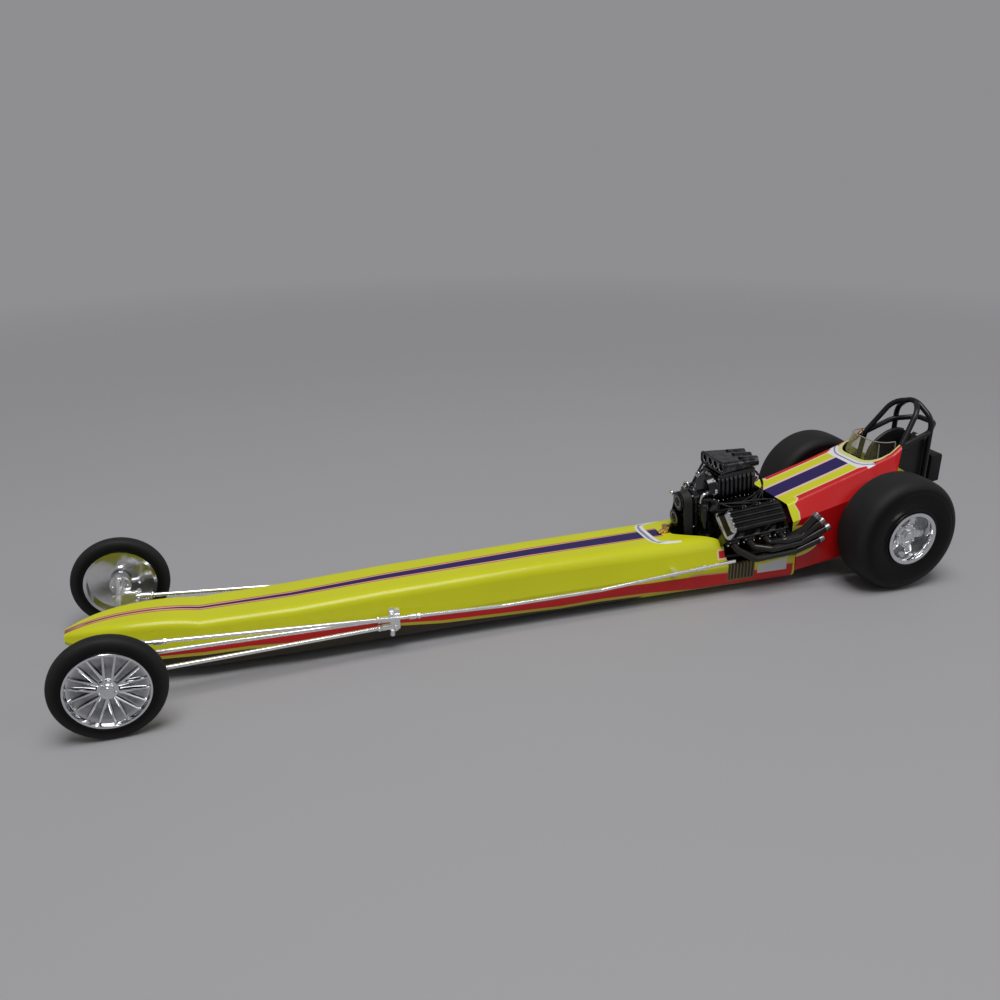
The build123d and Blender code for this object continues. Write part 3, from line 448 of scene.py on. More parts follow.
class Finish(Tree):
    """A material: a Principled shader, the nodes that feed it and the methods that add them."""

    def __init__(self, name, **sockets):
        self.material = bpy.data.materials.new(name)
        super().__init__(self.material)
        self.shader = self.node("ShaderNodeBsdfPrincipled", {}, {})
        self.set(**sockets)
        self.output = self.node("ShaderNodeOutputMaterial", {}, {0: self.shader.outputs[0]})
        self._mm = None

    def set(self, **sockets):
        """Feed the shader's own sockets."""
        for key, value in sockets.items():
            self.feed(self.shader.inputs[key.replace("_", " ")], value)
        return self

    @property
    def mm(self):
        """Object coordinates in millimetres."""
        if self._mm is None:
            inputs = {0: self.node("ShaderNodeTexCoord", {}, {}).outputs["Object"], 3: 1 / MM}
            scaled = self.node("ShaderNodeVectorMath", {"operation": "SCALE"}, inputs)
            self._mm = scaled.outputs[0]
        return self._mm

    def axes(self):
        """Station, left and up as three values in millimetres."""
        split = self.node("ShaderNodeSeparateXYZ", {}, {0: self.mm})
        station, left, up = (Value(self, socket) for socket in split.outputs)
        return station - REAR_AXLE_X, left, up

    def hub_radius(self, hub):
        """Distance from the axis of a wheel."""
        station, _, up = self.axes()
        return length(station - hub[0], up - hub[2])

    def noise(self, size, detail=2.0, roughness=0.5, stretch=(1.0, 1.0, 1.0)):
        """Noise about 0.5 whose features are so many millimetres, or longer where the stretch is under 1."""
        vector = self.node("ShaderNodeVectorMath", {"operation": "MULTIPLY"}, {0: self.mm, 1: stretch})
        inputs = {"Vector": vector.outputs[0], "Scale": 1.0 / size, "Detail": detail, "Roughness": roughness}
        return Value(self, self.node("ShaderNodeTexNoise", {"noise_dimensions": "3D"}, inputs).outputs[0])

    def facing(self):
        """The surface's own direction as three values."""
        normal = self.node("ShaderNodeNewGeometry", {}, {}).outputs["Normal"]
        split = self.node("ShaderNodeSeparateXYZ", {}, {0: normal})
        return tuple(Value(self, socket) for socket in split.outputs)

    def mix(self, factor, under, over):
        """Colour mix of two colours or links."""
        return self.node("ShaderNodeMix", {"data_type": "RGBA"}, {0: factor, 6: under, 7: over}).outputs[2]

    def shades(self, factor, colour, low, high):
        """A colour that goes from one share of itself to another."""
        return self.mix(factor, tinted(colour, low), tinted(colour, high))

    def bump(self, height, depth, strength=1.0):
        """Bump of a height from 0 to 1 that stands for a depth in millimetres."""
        inputs = {"Strength": strength, "Distance": depth * MM, "Height": height}
        return self.set(Normal=self.node("ShaderNodeBump", {}, inputs).outputs[0])

    def cover(self, *objects):
        """Put this material on objects, in place of what they have."""
        for item in objects:
            item.data.materials.clear()
            item.data.materials.append(self.material)


def length(first, second):
    """Length of the diagonal over two values."""
    return (first * first + second * second) ** 0.5


def tinted(colour, share):
    """A colour multiplied by a share."""
    return tuple(min(1.0, float(part) * share) for part in colour)


def plated(name, colour, rough, metallic=1.0):
    """Vacuum-plated kit plastic: bright, a little milky, with faint ripples of the moulding beneath."""
    finish = Finish(name, Metallic=metallic)
    patch, fine = finish.noise(4.0, 3.0), finish.noise(0.5, 2.0)
    finish.set(Base_Color=finish.shades(patch, colour, 0.86, 1.1))
    finish.set(Roughness=patch * 0.1 + fine * 0.03 + rough)
    return finish.bump(patch * 0.8 + fine * 0.2, 0.05, 0.3)


def wheel_plating(name, hub, deep, recess, low_r, high_r, dark):
    """Bright plating of a wheel, darkened with painted shade on what lies between two depths and between two
    radii.
    """
    finish = Finish(name, Metallic=1.0)
    out = abs(finish.axes()[1]) - hub[1]
    patch = finish.noise(2.0, 3.0)
    ring = finish.hub_radius(hub).between(low_r, high_r, 0.15)
    # Painted shade: the dark colour laid on the recess between the two depths and the two radii
    painted_shade = out.above(deep, 0.1) * out.below(recess, 0.35) * ring
    bright = finish.mix(patch, (0.62, 0.63, 0.65), (0.86, 0.87, 0.88))
    finish.set(Base_Color=finish.mix(painted_shade * (patch * 1.2 + 0.3), bright, dark), Roughness=patch * 0.08 + 0.08)
    return finish.bump(patch, 0.05, 0.3)


def painted(name, colour, rough, grain=0.35, depth=0.02, coat=0.0):
    """Brushed or sprayed kit paint: slightly uneven in tone and sheen, with a fine pebbled skin."""
    finish = Finish(name, Coat_Weight=coat, Coat_Roughness=0.05, Specular_IOR_Level=0.35)
    cloud, pebble = finish.noise(7.0, 3.0), finish.noise(grain, 3.0)
    finish.set(Base_Color=finish.shades(cloud, colour, 0.82, 1.16))
    finish.set(Roughness=(cloud - 0.5) * 0.12 + (pebble - 0.5) * 0.1 + rough)
    return finish.bump(pebble, depth, 0.5)


def vinyl(name, colour):
    """Padded vinyl: leathery grain under a slow unevenness."""
    finish = Finish(name, Specular_IOR_Level=0.45)
    grain, slow = finish.noise(0.35, 4.0, 0.6), finish.noise(3.0, 2.0)
    finish.set(Base_Color=finish.shades(slow, colour, 0.75, 1.3), Roughness=grain * 0.2 + 0.36)
    return finish.bump(grain, 0.06, 0.7)


def webbing(name, colour):
    """Woven strap: fine threads, dark between them."""
    finish = Finish(name, Specular_IOR_Level=0.3)
    weave = finish.noise(0.22, 2.0, 0.5, (1, 1, 0.4))
    finish.set(Base_Color=finish.shades(weave, colour, 0.6, 1.25), Roughness=weave * 0.2 + 0.62)
    return finish.bump(weave, 0.05, 0.8)


def scoop_plating(name):
    """Black plating mottled with grey patches, which are painted reflection."""
    finish = Finish(name, Metallic=1.0)
    patch = finish.noise(1.8, 4.0)
    # Painted reflection: grey patches mottled at random over the black
    finish.set(Base_Color=finish.mix(patch.above(0.42, 0.2), (0.035, 0.035, 0.037), (0.12, 0.12, 0.125)))
    finish.set(Roughness=patch * 0.2 + 0.08)
    return finish.bump(patch, 0.08, 0.5)


def cover_plating(name):
    """Black plating of a valve cover, with painted highlights: bright round the rim of its front end and
    along its lower edge.
    """
    finish = Finish(name, Metallic=1.0)
    station, left, up = finish.axes()
    cos, sin = math.cos(ENGINE_RAKE), math.sin(ENGINE_RAKE)
    ahead, rise = station - CRANK[0], up - CRANK[2]
    upright = ahead * cos - rise * sin + CRANK[0]
    height = rise * cos + ahead * sin
    reach = (abs(left) + height) * BANK_LEAN
    across = abs((abs(left) - height) * BANK_LEAN)
    patch = finish.noise(3.0, 3.0)
    ring = reach.below(14.75, 0.15).either(reach.above(16.7, 0.15)).either(across.above(3.3, 0.15))
    # Painted highlights: the front end's rim and a streak along the lower edge, bright
    bright = (upright.above(48.1, 0.4) * ring).either(reach.below(14.5, 0.15) * 0.6)
    dark = finish.mix(patch, (0.02, 0.02, 0.021), (0.07, 0.068, 0.07))
    finish.set(Base_Color=finish.mix(bright, dark, (0.72, 0.73, 0.74)), Roughness=patch * 0.08 + 0.1)
    return finish.bump(patch, 0.05, 0.3)


def braiding(name):
    """Woven steel hose cover: bright flecks of thread over a dark ground."""
    finish = Finish(name, Metallic=0.7, Roughness=0.35)
    fleck = finish.noise(0.25, 1.0)
    finish.set(Base_Color=finish.mix(fleck.above(0.45, 0.15), (0.012, 0.012, 0.012), (0.11, 0.11, 0.115)))
    return finish.bump(fleck, 0.05, 0.8)


def header_paint(name):
    """Black heat paint over plating, worn metallic in patches."""
    finish = Finish(name, Coat_Weight=0.2, Coat_Roughness=0.06, Specular_IOR_Level=0.35)
    cloud, fine = finish.noise(3.0, 3.0), finish.noise(0.4, 2.0)
    finish.set(Base_Color=finish.mix(cloud, (0.004, 0.004, 0.004), (0.035, 0.031, 0.028)))
    finish.set(Metallic=cloud * 0.7, Roughness=fine * 0.2 + 0.18)
    return finish.bump(cloud * 0.5 + fine * 0.5, 0.04, 0.5)


def belt_rubber(name):
    """Moulded rubber belt, its cords faint through the back."""
    finish = Finish(name, Specular_IOR_Level=0.35)
    cords = (finish.axes()[0] * 9.0).calc("SINE") * 0.5 + 0.5
    fine = finish.noise(0.3, 2.0)
    finish.set(Base_Color=finish.mix(fine, (0.008, 0.008, 0.008), (0.022, 0.022, 0.022)))
    finish.set(Roughness=(fine - 0.5) * 0.2 + 0.55)
    return finish.bump(cords * 0.5 + fine * 0.5, 0.05, 0.6)


def screen_glass(name):
    """Clear sheet with a yellow haze at its front, densest on the right, where the extra haze is painted
    reflection on the far pane.
    """
    finish = Finish(name, Coat_Weight=0.5, Coat_Roughness=0.03, IOR=1.45)
    station, left = finish.axes()[:2]
    haze = finish.noise(3.0, 3.0)
    front = station.above(-2.6, 1.2)
    # Painted reflection: the haze grows towards the far, right-hand pane
    painted_glare = left.below(-5.0, 4.5)
    finish.set(Base_Color=finish.mix(front, (0.08, 0.08, 0.07), (0.40, 0.38, 0.14)))
    finish.set(Alpha=front * (painted_glare * 0.55 + 0.03) + haze * 0.06 + 0.03, Roughness=haze * 0.08 + 0.05)
    return finish.bump(haze, 0.02, 0.2)


# The finishes that pieces share, by material name: what makes each and the values it takes
FINISHES = {
    "chrome_plating": (plated, (0.74, 0.75, 0.77), 0.1),
    "rod_plating": (plated, (0.93, 0.93, 0.94), 0.15, 0.88),
    "black_plating": (plated, (0.06, 0.06, 0.063), 0.12),
    "brass_fitting": (plated, (0.72, 0.45, 0.16), 0.25),
    "bare_steel": (plated, (0.3, 0.3, 0.31), 0.3),
    "frame_black_paint": (painted, (0.005, 0.005, 0.006), 0.34),
    "satin_black_trim": (painted, (0.009, 0.009, 0.01), 0.52, 0.6, 0.03),
    # Near black: painted shade in header bores, scoop throats and rear wheel windows; also the black faces of
    # the gauges
    "dark_inside": (painted, (0.004, 0.004, 0.004), 0.8),
    "engine_black_paint": (painted, (0.003, 0.003, 0.003), 0.2, 0.8, 0.015, 0.25),
    "drive_black_paint": (painted, (0.003, 0.003, 0.003), 0.16, 0.8, 0.01, 0.4),
    "magneto_cap_plastic": (painted, (0.012, 0.012, 0.013), 0.25, 0.5),
    "ignition_wire_rubber": (painted, (0.004, 0.004, 0.005), 0.5, 0.3),
    "screen_edge_trim": (painted, linear(150, 146, 132), 0.35),
    "gauge_face": (painted, (0.6, 0.58, 0.5), 0.4),
    "seat_vinyl": (vinyl, (0.007, 0.007, 0.008)),
    "grip_rubber": (vinyl, (0.012, 0.012, 0.012)),
    "pack_canvas": (webbing, (0.008, 0.008, 0.009)),
    "belt_webbing": (webbing, (0.03, 0.03, 0.032)),
    "scoop_plating": (scoop_plating,),
    "cover_plating": (cover_plating,),
    "braided_line": (braiding,),
    "header_black": (header_paint,),
    "drive_belt_rubber": (belt_rubber,),
    "tinted_screen": (screen_glass,),
}
MADE = {}


def shared(name):
    """A finish of the table, made the first time it is asked for."""
    if name not in MADE:
        maker, *values = FINISHES[name]
        MADE[name] = maker(name, *values)
    return MADE[name]


def coat(finish, *nodes):
    """Cover CAD nodes with a finish of the table."""
    shared(finish).cover(*(NODES[name] for name in nodes))


BODY_GLOSS = {"Coat_Weight": 0.12, "Coat_Roughness": 0.06, "Specular_IOR_Level": 0.35}
COWL_CROWN = np.array([(-8.4, 37.9), (-5.3, 35.4), (2.5, 32.6), (12.0, 29.6), (29.6, 24.3)])


def fairing_finish(paint):
    """Tail fairing: yellow, red towards its rear."""
    finish = Finish("fairing_paint", **BODY_GLOSS)
    ripple = finish.noise(5.0, 2.0)
    yellow = finish.shades(ripple, paint.yellow, 0.92, 1.05)
    finish.set(Base_Color=finish.mix(finish.axes()[0].below(-12.3, 0.3), yellow, tuple(paint.red)))
    finish.set(Roughness=(ripple - 0.5) * 0.1 + 0.3)
    return finish.bump(ripple, 0.03, 0.3)


# Station, lower edge and upper edge of the low red stripe
LOW_STRIPE = [
    (29, 1.5, 7.0), (40, 2.6, 6.4), (58, 2.9, 7.2), (73, 4.2, 7.2), (88, 4.6, 7.65), (100, 4.3, 7.0),
    (117, 5.0, 6.8), (133, 5.7, 7.7), (144, 6.9, 8.9), (160, 6.5, 8.5), (170, 6.1, 8.3), (182, 7.1, 8.7),
    (194, 7.3, 8.7), (205, 7.7, 8.3),
]


def body_finish(paint):
    """The body's paint scheme, worked out from station, distance from the middle and height."""
    finish = Finish("body_paint", **BODY_GLOSS)
    station, left, up = finish.axes()
    side = abs(left)
    colours = (paint.yellow, paint.red, paint.purple, paint.cream, paint.maroon, paint.belly)
    yellow, red, purple, cream, maroon, belly = map(tuple, colours)
    pink = linear(232, 168, 146)
    colour = finish.shades(finish.noise(14.0, 2.0), yellow, 0.95, 1.05)

    def lay(mask, paint_colour):
        nonlocal colour
        colour = finish.mix(mask, colour, paint_colour)

    # Centre stripe on the crown, from the tip to the engine
    crown = up.above(station.follow([(195, 10.0), (224, 12.6)]), 0.3) * station.above(65.3)
    outer = station.follow([(77, 2.7), (113, 2.45), (141, 1.9), (168, 1.4), (205, 1.1), (224, 0.9)])
    core = station.follow([(75, 2.0), (113, 1.5), (170, 0.55), (196, 0.25), (205, 0.0)])
    lay(side.below(outer, 0.15) * crown, maroon)
    lay(side.below(outer - 0.28, 0.15) * crown * station.below(217, 8.0), pink)
    lay(side.below(core + 0.12, 0.15) * crown * station.below(206), maroon)
    lay(side.below(core, 0.15) * crown * station.below(205), purple)
    lay(side.below(0.28, 0.15) * crown * station.between(202.0, 219.0, 2.0), maroon)
    # White crescent across the crown, blue-grey along its middle
    front_edge = side.follow([(2.4, 71.0), (4.75, 70.6), (6.35, 69.8), (7.2, 68.1), (7.6, 66.4), (7.8, 63.0)])
    rear_edge = side.follow([(3.4, 68.3), (5.7, 67.9), (6.3, 66.3), (6.9, 63.9), (7.2, 62.0)])
    on_crown = up.above(10.5)
    lay(station.between(rear_edge, front_edge, 0.2) * on_crown * side.below(7.75), linear(228, 228, 226))
    inner = station.between(rear_edge + 0.9, front_edge - 0.8, 0.5) * on_crown
    lay(inner * side.below(6.6), linear(126, 130, 158))
    # Red stripe low on the sides with its thin lines, and the dark belly
    low = station.follow([(at, edge) for at, edge, _ in LOW_STRIPE])
    high = station.follow([(at, edge) for at, _, edge in LOW_STRIPE])
    lane = station.between(28.0, 206.0)
    belly_top = (low - 0.8) - station.follow([(204, 0.0), (211, 6.0)])
    lay(up.below(belly_top, 0.15) * station.above(75.0, 1.5), belly)
    lay(up.between(low - 0.8, low) * lane, linear(188, 174, 50))
    lay(up.between(high, high + 0.45) * station.between(28.0, 60.0, 2.0), linear(214, 140, 120))
    lay(up.between(low, high) * lane, red)
    # Patches on the low sides beside the engine: bare pale panel, barred panel and small red patch
    panel = station.between(30.1, 39.6) * up.between(5.4, station.follow([(30.1, 9.3), (39.6, 8.0)]))
    lay(panel * side.above(10.0), linear(206, 206, 204))
    barred = station.between(40.6, 49.1) * up.between(4.2, 10.2) * side.above(10.0)
    bar = ((station - 40.6) * 0.94).calc("FRACT").above(0.35, 0.1)
    lay(barred, linear(104, 90, 42))
    lay(barred * bar * up.between(4.7, 9.7) * station.between(41.0, 48.8), linear(30, 24, 20))
    lay(station.between(47.6, 52.3) * up.between(10.9, 13.9) * side.above(8.0), cream)
    lay(station.between(48.1, 51.8) * up.between(11.4, 13.4) * side.above(8.0), red)
    # Cowl: purple middle, pale lines, yellow bands and red flanks with their scallops
    on_cowl = station.below(29.8) * up.above(station.follow([(27.2, 0.0), (27.6, 9.45)]))
    top = on_cowl * up.above(22.0)
    lay(top * side.below(3.7), linear(226, 190, 186))
    lay(top * side.below(2.8), purple)
    scallop = [(18.6, 29.6), (19.4, 27.9), (20.8, 27.1), (22.4, 26.7), (24.3, 27.3), (25.5, 25.5)]
    flank_front = up.follow(scallop)
    lay(on_cowl * side.above(6.9) * station.below(flank_front + 0.3, 0.15), cream)
    lay(on_cowl * side.above(7.4) * station.below(flank_front, 0.2), red)
    bite = length((station - 28.5) / 8.2, (up - 13.9) / 4.7)
    bitten = on_cowl * side.above(9.0) * up.below(18.8)
    lay(bite.below(1.06, 0.02) * bitten, cream)
    lay(bite.below(1.0, 0.03) * bitten, yellow)
    # Round the cockpit's mouth: pale rim strip, and a white band with a grey-blue middle in front of it
    from_mouth = length((station + 2.9).either(0.0), (side - 3.35).either(0.0)) - 4.5
    band_front = side.follow([(7.4, 5.06), (8.3, 3.0)])
    band = top * station.between(0.6, band_front) * side.below(9.3)
    lay(band, linear(224, 222, 224))
    line = from_mouth.between(1.9, 2.35, 0.2)
    lay(band * line * station.below(band_front - 0.5, 0.3), linear(120, 124, 168))
    strip = station.follow([(-4.0, 0.5), (0.5, 1.2)])
    lay(top * from_mouth.below(strip) * station.above(-8.3), linear(206, 206, 140))
    # Near black on inner faces, those that look towards the middle or down, and all inside the cockpit's
    # mouth: painted shade in the body's hollows
    ahead_facing, across, upwards = finish.facing()
    inwards = (across * left.calc("SIGN")).below(-0.2, 0.1)
    inner = inwards.either(upwards.below(-0.35, 0.1)) * up.above(13.0) * station.below(34.0)
    crown_up = station.follow(COWL_CROWN.tolist())
    hollow = up.below(crown_up - 1.1, 0.3) * side.below(8.5) * station.between(-24.0, 2.2)
    firewall = ahead_facing.above(0.75, 0.1) * station.between(24.0, 34.0) * up.above(13.0)
    lay(inner.either(hollow).either(firewall), linear(18, 16, 15))
    finish.set(Base_Color=colour)
    ripple = finish.noise(5.0, 2.0)
    peel = finish.noise(0.7, 2.0)
    finish.set(Roughness=(ripple - 0.5) * 0.1 + (peel - 0.5) * 0.06 + 0.3)
    return finish.bump(peel * 0.5 + ripple * 0.5, 0.03, 0.35)


def tyre_finish(hub):
    """Vinyl tyre: dull grey tread with fine scuffs, and darker, smoother sidewalls with faint rings."""
    finish = Finish("tyre_vinyl", Specular_IOR_Level=0.18)
    radius = finish.hub_radius(hub)
    tread = radius.above(hub[2] - 2.4, 1.6)
    cloud, fine = finish.noise(6.0, 4.0), finish.noise(0.35, 3.0)
    wall = finish.mix(cloud, linear(4, 4, 5), linear(11, 11, 11))
    worn = finish.mix(cloud, linear(27, 27, 28), linear(40, 40, 40))
    finish.set(Base_Color=finish.mix(tread, wall, worn))
    finish.set(Roughness=tread * 0.16 + (cloud - 0.5) * 0.14 + (fine - 0.5) * 0.08 + 0.44)
    rings = (radius * 9.0).calc("SINE") * 0.5 + 0.5
    scuff = finish.noise(0.8, 2.0, 0.5, (0.25, 1.0, 0.25))
    return finish.bump(fine * 0.5 + scuff * 0.4 + rings * (1.0 - tread) * 0.35, 0.04, 0.6)


def tone(name, about, *colour):
    """Setting of a colour, its default given as a display colour."""
    default = linear(*colour)
    return FloatVectorProperty(name=name, description=about, subtype="COLOR", default=default, min=0, max=1)


def measure(name, about, size):
    """Setting of a length, its default given in millimetres."""
    return FloatProperty(name=name, description=about, default=size * MM, unit="LENGTH", precision=5)


class KitPaint(bpy.types.PropertyGroup):
    """Colours of the body"""

    yellow: tone("Yellow", "Main colour of the body", 202, 204, 24)
    red: tone("Red", "Flanks of the cowl and low side stripe", 194, 20, 22)
    purple: tone("Purple", "Middle of the cowl", 26, 5, 82)
    maroon: tone("Maroon", "Centre stripe", 124, 34, 44)
    cream: tone("Cream", "Lines between the colours", 230, 206, 160)
    belly: tone("Belly", "Underside of the nose", 46, 38, 20)


class KitSizes(bpy.types.PropertyGroup):
    """Sizes of the fine pieces"""

    plug_wire: measure("Plug Wire", "Diameter of a spark plug wire", 0.46)
    fuel_line: measure("Fuel Line", "Diameter of a fuel line", 0.7)
    bolt_head: measure("Bolt Head", "Diameter of a bolt head on the engine", 0.62)
    strap: measure("Strap", "Width of a belt strap", 1.7)
    spoke: measure("Spoke", "Diameter of a front wheel's spoke at its hub", 0.72)
    lug_nuts: IntProperty(name="Lug Nuts", description="Nuts on a rear wheel", default=5, min=3, max=8)


class KitStage(bpy.types.PropertyGroup):
    """Lamps, floor and camera"""

    key: FloatProperty(name="Key Lamp", description="Power of the main lamp", default=6.6, unit="POWER")
    fill: FloatProperty(name="Fill Lamp", description="Power of the second lamp", default=0.9, unit="POWER")
    sky: FloatProperty(name="Surroundings", description="Strength of the surroundings", default=0.36, min=0)
    floor: tone("Floor", "Colour of the floor", 160, 159, 162)
    backdrop: tone("Backdrop", "Colour far behind", 143, 142, 145)
    angle: FloatProperty(
        name="Camera Angle", description="Width of the view", default=math.radians(56.76), subtype="ANGLE"
    )


FLOOR_HALF = 3.0
CAMERA_PLACE = (183.66, 218.74, 125.84)
CAMERA_BACK = (0.2834, 0.8833, 0.3735)
CAMERA_ROLL = math.radians(-0.604)


def lamp(name, spot, size, power):
    """A square soft lamp aimed at the middle of the car."""
    data = bpy.data.lights.new(name, "AREA")
    data.size = size
    data.energy = power
    item = put(name, data)
    item.location = spot
    item.rotation_euler = (-Vector(spot)).to_track_quat("-Z", "Y").to_euler()


class KIT_OT_stage(bpy.types.Operator):
    """Floor, lamps, surroundings and the photograph's camera"""

    bl_idname = "kit.stage"
    bl_label = "Stage and Camera"

    def execute(self, context):
        stage = context.scene.kit_stage
        mesh = bpy.data.meshes.new("floor")
        corners = [(-1, -1), (1, -1), (1, 1), (-1, 1)]
        mesh.from_pydata([(x * FLOOR_HALF, y * FLOOR_HALF, 0) for x, y in corners], [], [(0, 1, 2, 3)])
        floor = put("floor", mesh)
        backdrop = tuple(stage.backdrop)
        card = Finish("floor_card", Roughness=0.6)
        card.set(Base_Color=card.shades(card.noise(90.0, 2.0), stage.floor, 0.985, 1.015)).cover(floor)
        station, left = card.axes()[:2]
        away = length(station - 100.0, left)
        glow = card.node("ShaderNodeEmission", {}, {"Color": backdrop, "Strength": 1.0})
        shares = {0: away.above(220.0, 420.0) * card.seen(), 1: card.shader.outputs[0], 2: glow.outputs[0]}
        card.feed(card.output.inputs[0], card.node("ShaderNodeMixShader", {}, shares).outputs[0])
        lamp("key_lamp", (0.06, 0.24, 0.90), 0.55, stage.key)
        lamp("fill_lamp", (-0.7, 0.6, 0.5), 0.6, stage.fill)
        world = bpy.data.worlds.new("world")
        air = Tree(world)
        light = air.node("ShaderNodeBackground", {}, {"Color": (0.5, 0.5, 0.51), "Strength": stage.sky})
        shown = air.node("ShaderNodeBackground", {}, {"Color": backdrop, "Strength": 1.0})
        both = air.node("ShaderNodeMixShader", {}, {0: air.seen(), 1: light.outputs[0], 2: shown.outputs[0]})
        air.node("ShaderNodeOutputWorld", {}, {0: both.outputs[0]})
        context.scene.world = world
        context.scene.view_settings.view_transform = "Standard"
        data = bpy.data.cameras.new("camera")
        data.angle = stage.angle
        data.clip_start = 0.01
        camera = put("camera", data)
        back = Vector(CAMERA_BACK).normalized()
        right = Vector((0, 0, 1)).cross(back).normalized()
        up = back.cross(right)
        cos, sin = math.cos(CAMERA_ROLL), math.sin(CAMERA_ROLL)
        axes = Matrix((right * cos + up * sin, up * cos - right * sin, back)).transposed().to_4x4()
        camera.matrix_world = Matrix.Translation(Vector(placed(CAMERA_PLACE))) @ axes
        context.scene.camera = camera
        return {"FINISHED"}


class KIT_OT_body(bpy.types.Operator):
    """Paint of the body pieces and the small fitting on them"""

    bl_idname = "kit.body"
    bl_label = "Body"

    def execute(self, context):
        paint = context.scene.kit_paint
        body_finish(paint).cover(NODES["nose_body"], NODES["mid_body"], NODES["cockpit_cowl"])
        fairing_finish(paint).cover(NODES["tail_fairing"])
        fitting = Shell("stripe_fitting")
        stem = [(-0.4, 0.05), (-0.4, 1.5), (0.3, 1.5), (0.45, 1.1), (1.3, 1.05), (1.45, 1.3), (2.0, 1.25),
                (2.2, 0.05)]
        fitting.spin(stem, (63.6, 0.3, 16.9), (-0.15, 0, 1), 28)
        fitting.pipe([(64.2, 0.6, 17.6), (66.3, 1.2, 17.2)], [0.55, 0.5], 14)
        fitting.make("chrome", "brass_fitting")
        return {"FINISHED"}


CASE_R = 4.3


class KIT_OT_chassis(bpy.types.Operator):
    """Paint of the rails, the roll cage and the rear axle, with the axle's bolts"""

    bl_idname = "kit.chassis"
    bl_label = "Chassis and Cage"

    def execute(self, context):
        coat("frame_black_paint", "chassis_rails", "roll_cage", "rear_axle")
        # The centre section's bolts stand on an oval, apart from the top one, which the case hides
        bolts = Shell("axle_bolts")
        for spot in circle_at((0, 0, REAR_TYRE_R), (0, CASE_R * 0.62, 0), (0, 0, CASE_R), 10):
            if spot[2] < REAR_TYRE_R + CASE_R - 0.4:
                bolts.bolt(spot, AHEAD, 0.3, 0.3)
        bolts.make("dark_steel", "bare_steel")
        return {"FINISHED"}


TYRE_REAR_ROWS = [
    (6.0, 7.75), (6.3, 7.95), (6.42, 8.3), (6.3, 8.65), (6.2, 8.95), (6.32, 9.5), (6.5, 10.3), (6.64, 11.3),
    (6.7, 12.3), (6.68, 13.2), (6.6, 13.55), (6.52, 13.75), (6.5, 14.0), (6.3, 14.7), (5.9, 15.4),
    (5.2, 16.05), (4.4, 16.45), (3.5, 16.66), (2.0, 16.76), (0.0, 16.8),
]
TYRE_FRONT_ROWS = [
    (1.7, 9.25), (1.86, 9.4), (1.92, 9.65), (1.84, 9.9), (1.9, 10.3), (2.0, 10.9), (1.98, 11.4), (1.86, 11.9),
    (1.6, 12.25), (1.2, 12.48), (0.7, 12.6), (0.5, 12.62), (0.42, 12.52), (0.3, 12.52), (0.22, 12.64),
    (0.0, 12.65),
]


class KIT_OT_tyres(bpy.types.Operator):
    """Four vinyl tyres with bead rings, bulged sidewalls and round shoulders"""

    bl_idname = "kit.tyres"
    bl_label = "Tyres"

    def execute(self, context):
        wheels = (
            ("front", FRONT_HUB, np.array(TYRE_FRONT_ROWS), FRONT_RIM_R),
            ("rear", REAR_HUB, smooth(TYRE_REAR_ROWS, 3), REAR_RIM_R),
        )
        for place, hub, half, rim_r in wheels:
            finish = tyre_finish(hub)
            seat = half[0, 0]
            profile = np.vstack([half, (half * (-1, 1))[::-1][1:], [(-seat, rim_r), (seat, rim_r)]])
            for side, hand in SIDES:
                tyre = Shell(f"{place}_tyre_{hand}", 50)
                tyre.spin(profile, wheel_spot(hub, side, 0, 0, 0), (0, side, 0), 144, loop=True)
                body = f"{place}_{hand}_wheel"
                tyre.make("tyre_rubber", finish, body=body, stands_for=[f"tyre_{place}_{hand}"])
        return {"FINISHED"}


FRONT_RIM_ROWS = [
    (0.9, 0.05), (0.9, 1.1), (-2.0, 1.1), (-2.0, 2.3), (-0.2, 2.5), (-0.2, 8.5), (-2.0, 8.5), (-2.0, 9.3),
    (1.9, 9.3), (2.12, 9.35), (2.25, 9.28), (2.28, 9.1), (2.2, 8.85), (1.9, 8.75), (1.3, 8.65), (0.95, 8.55),
    (0.8, 8.3), (0.7, 7.6), (0.62, 5.4), (0.66, 3.2), (0.75, 2.5), (1.0, 2.3), (1.25, 2.25), (1.35, 2.05),
    (1.4, 1.6), (1.55, 1.45), (1.9, 1.38), (1.98, 1.2), (1.98, 1.0), (2.15, 0.95), (2.22, 0.8), (2.27, 0.4),
    (2.28, 0.05),
]
REAR_BARREL_ROWS = [
    (4.6, 0.05), (4.6, 1.6), (-6.7, 1.6), (-6.7, 3.0), (2.9, 3.1), (2.9, 7.0), (-6.7, 7.0), (-6.7, 7.8),
    (6.75, 7.8), (6.95, 7.78), (7.0, 7.65), (7.0, 7.05), (6.9, 6.75), (6.6, 6.6), (5.4, 6.5), (4.0, 6.45),
]
FRONT_PAIRS = 9
REAR_SPOKES = 5


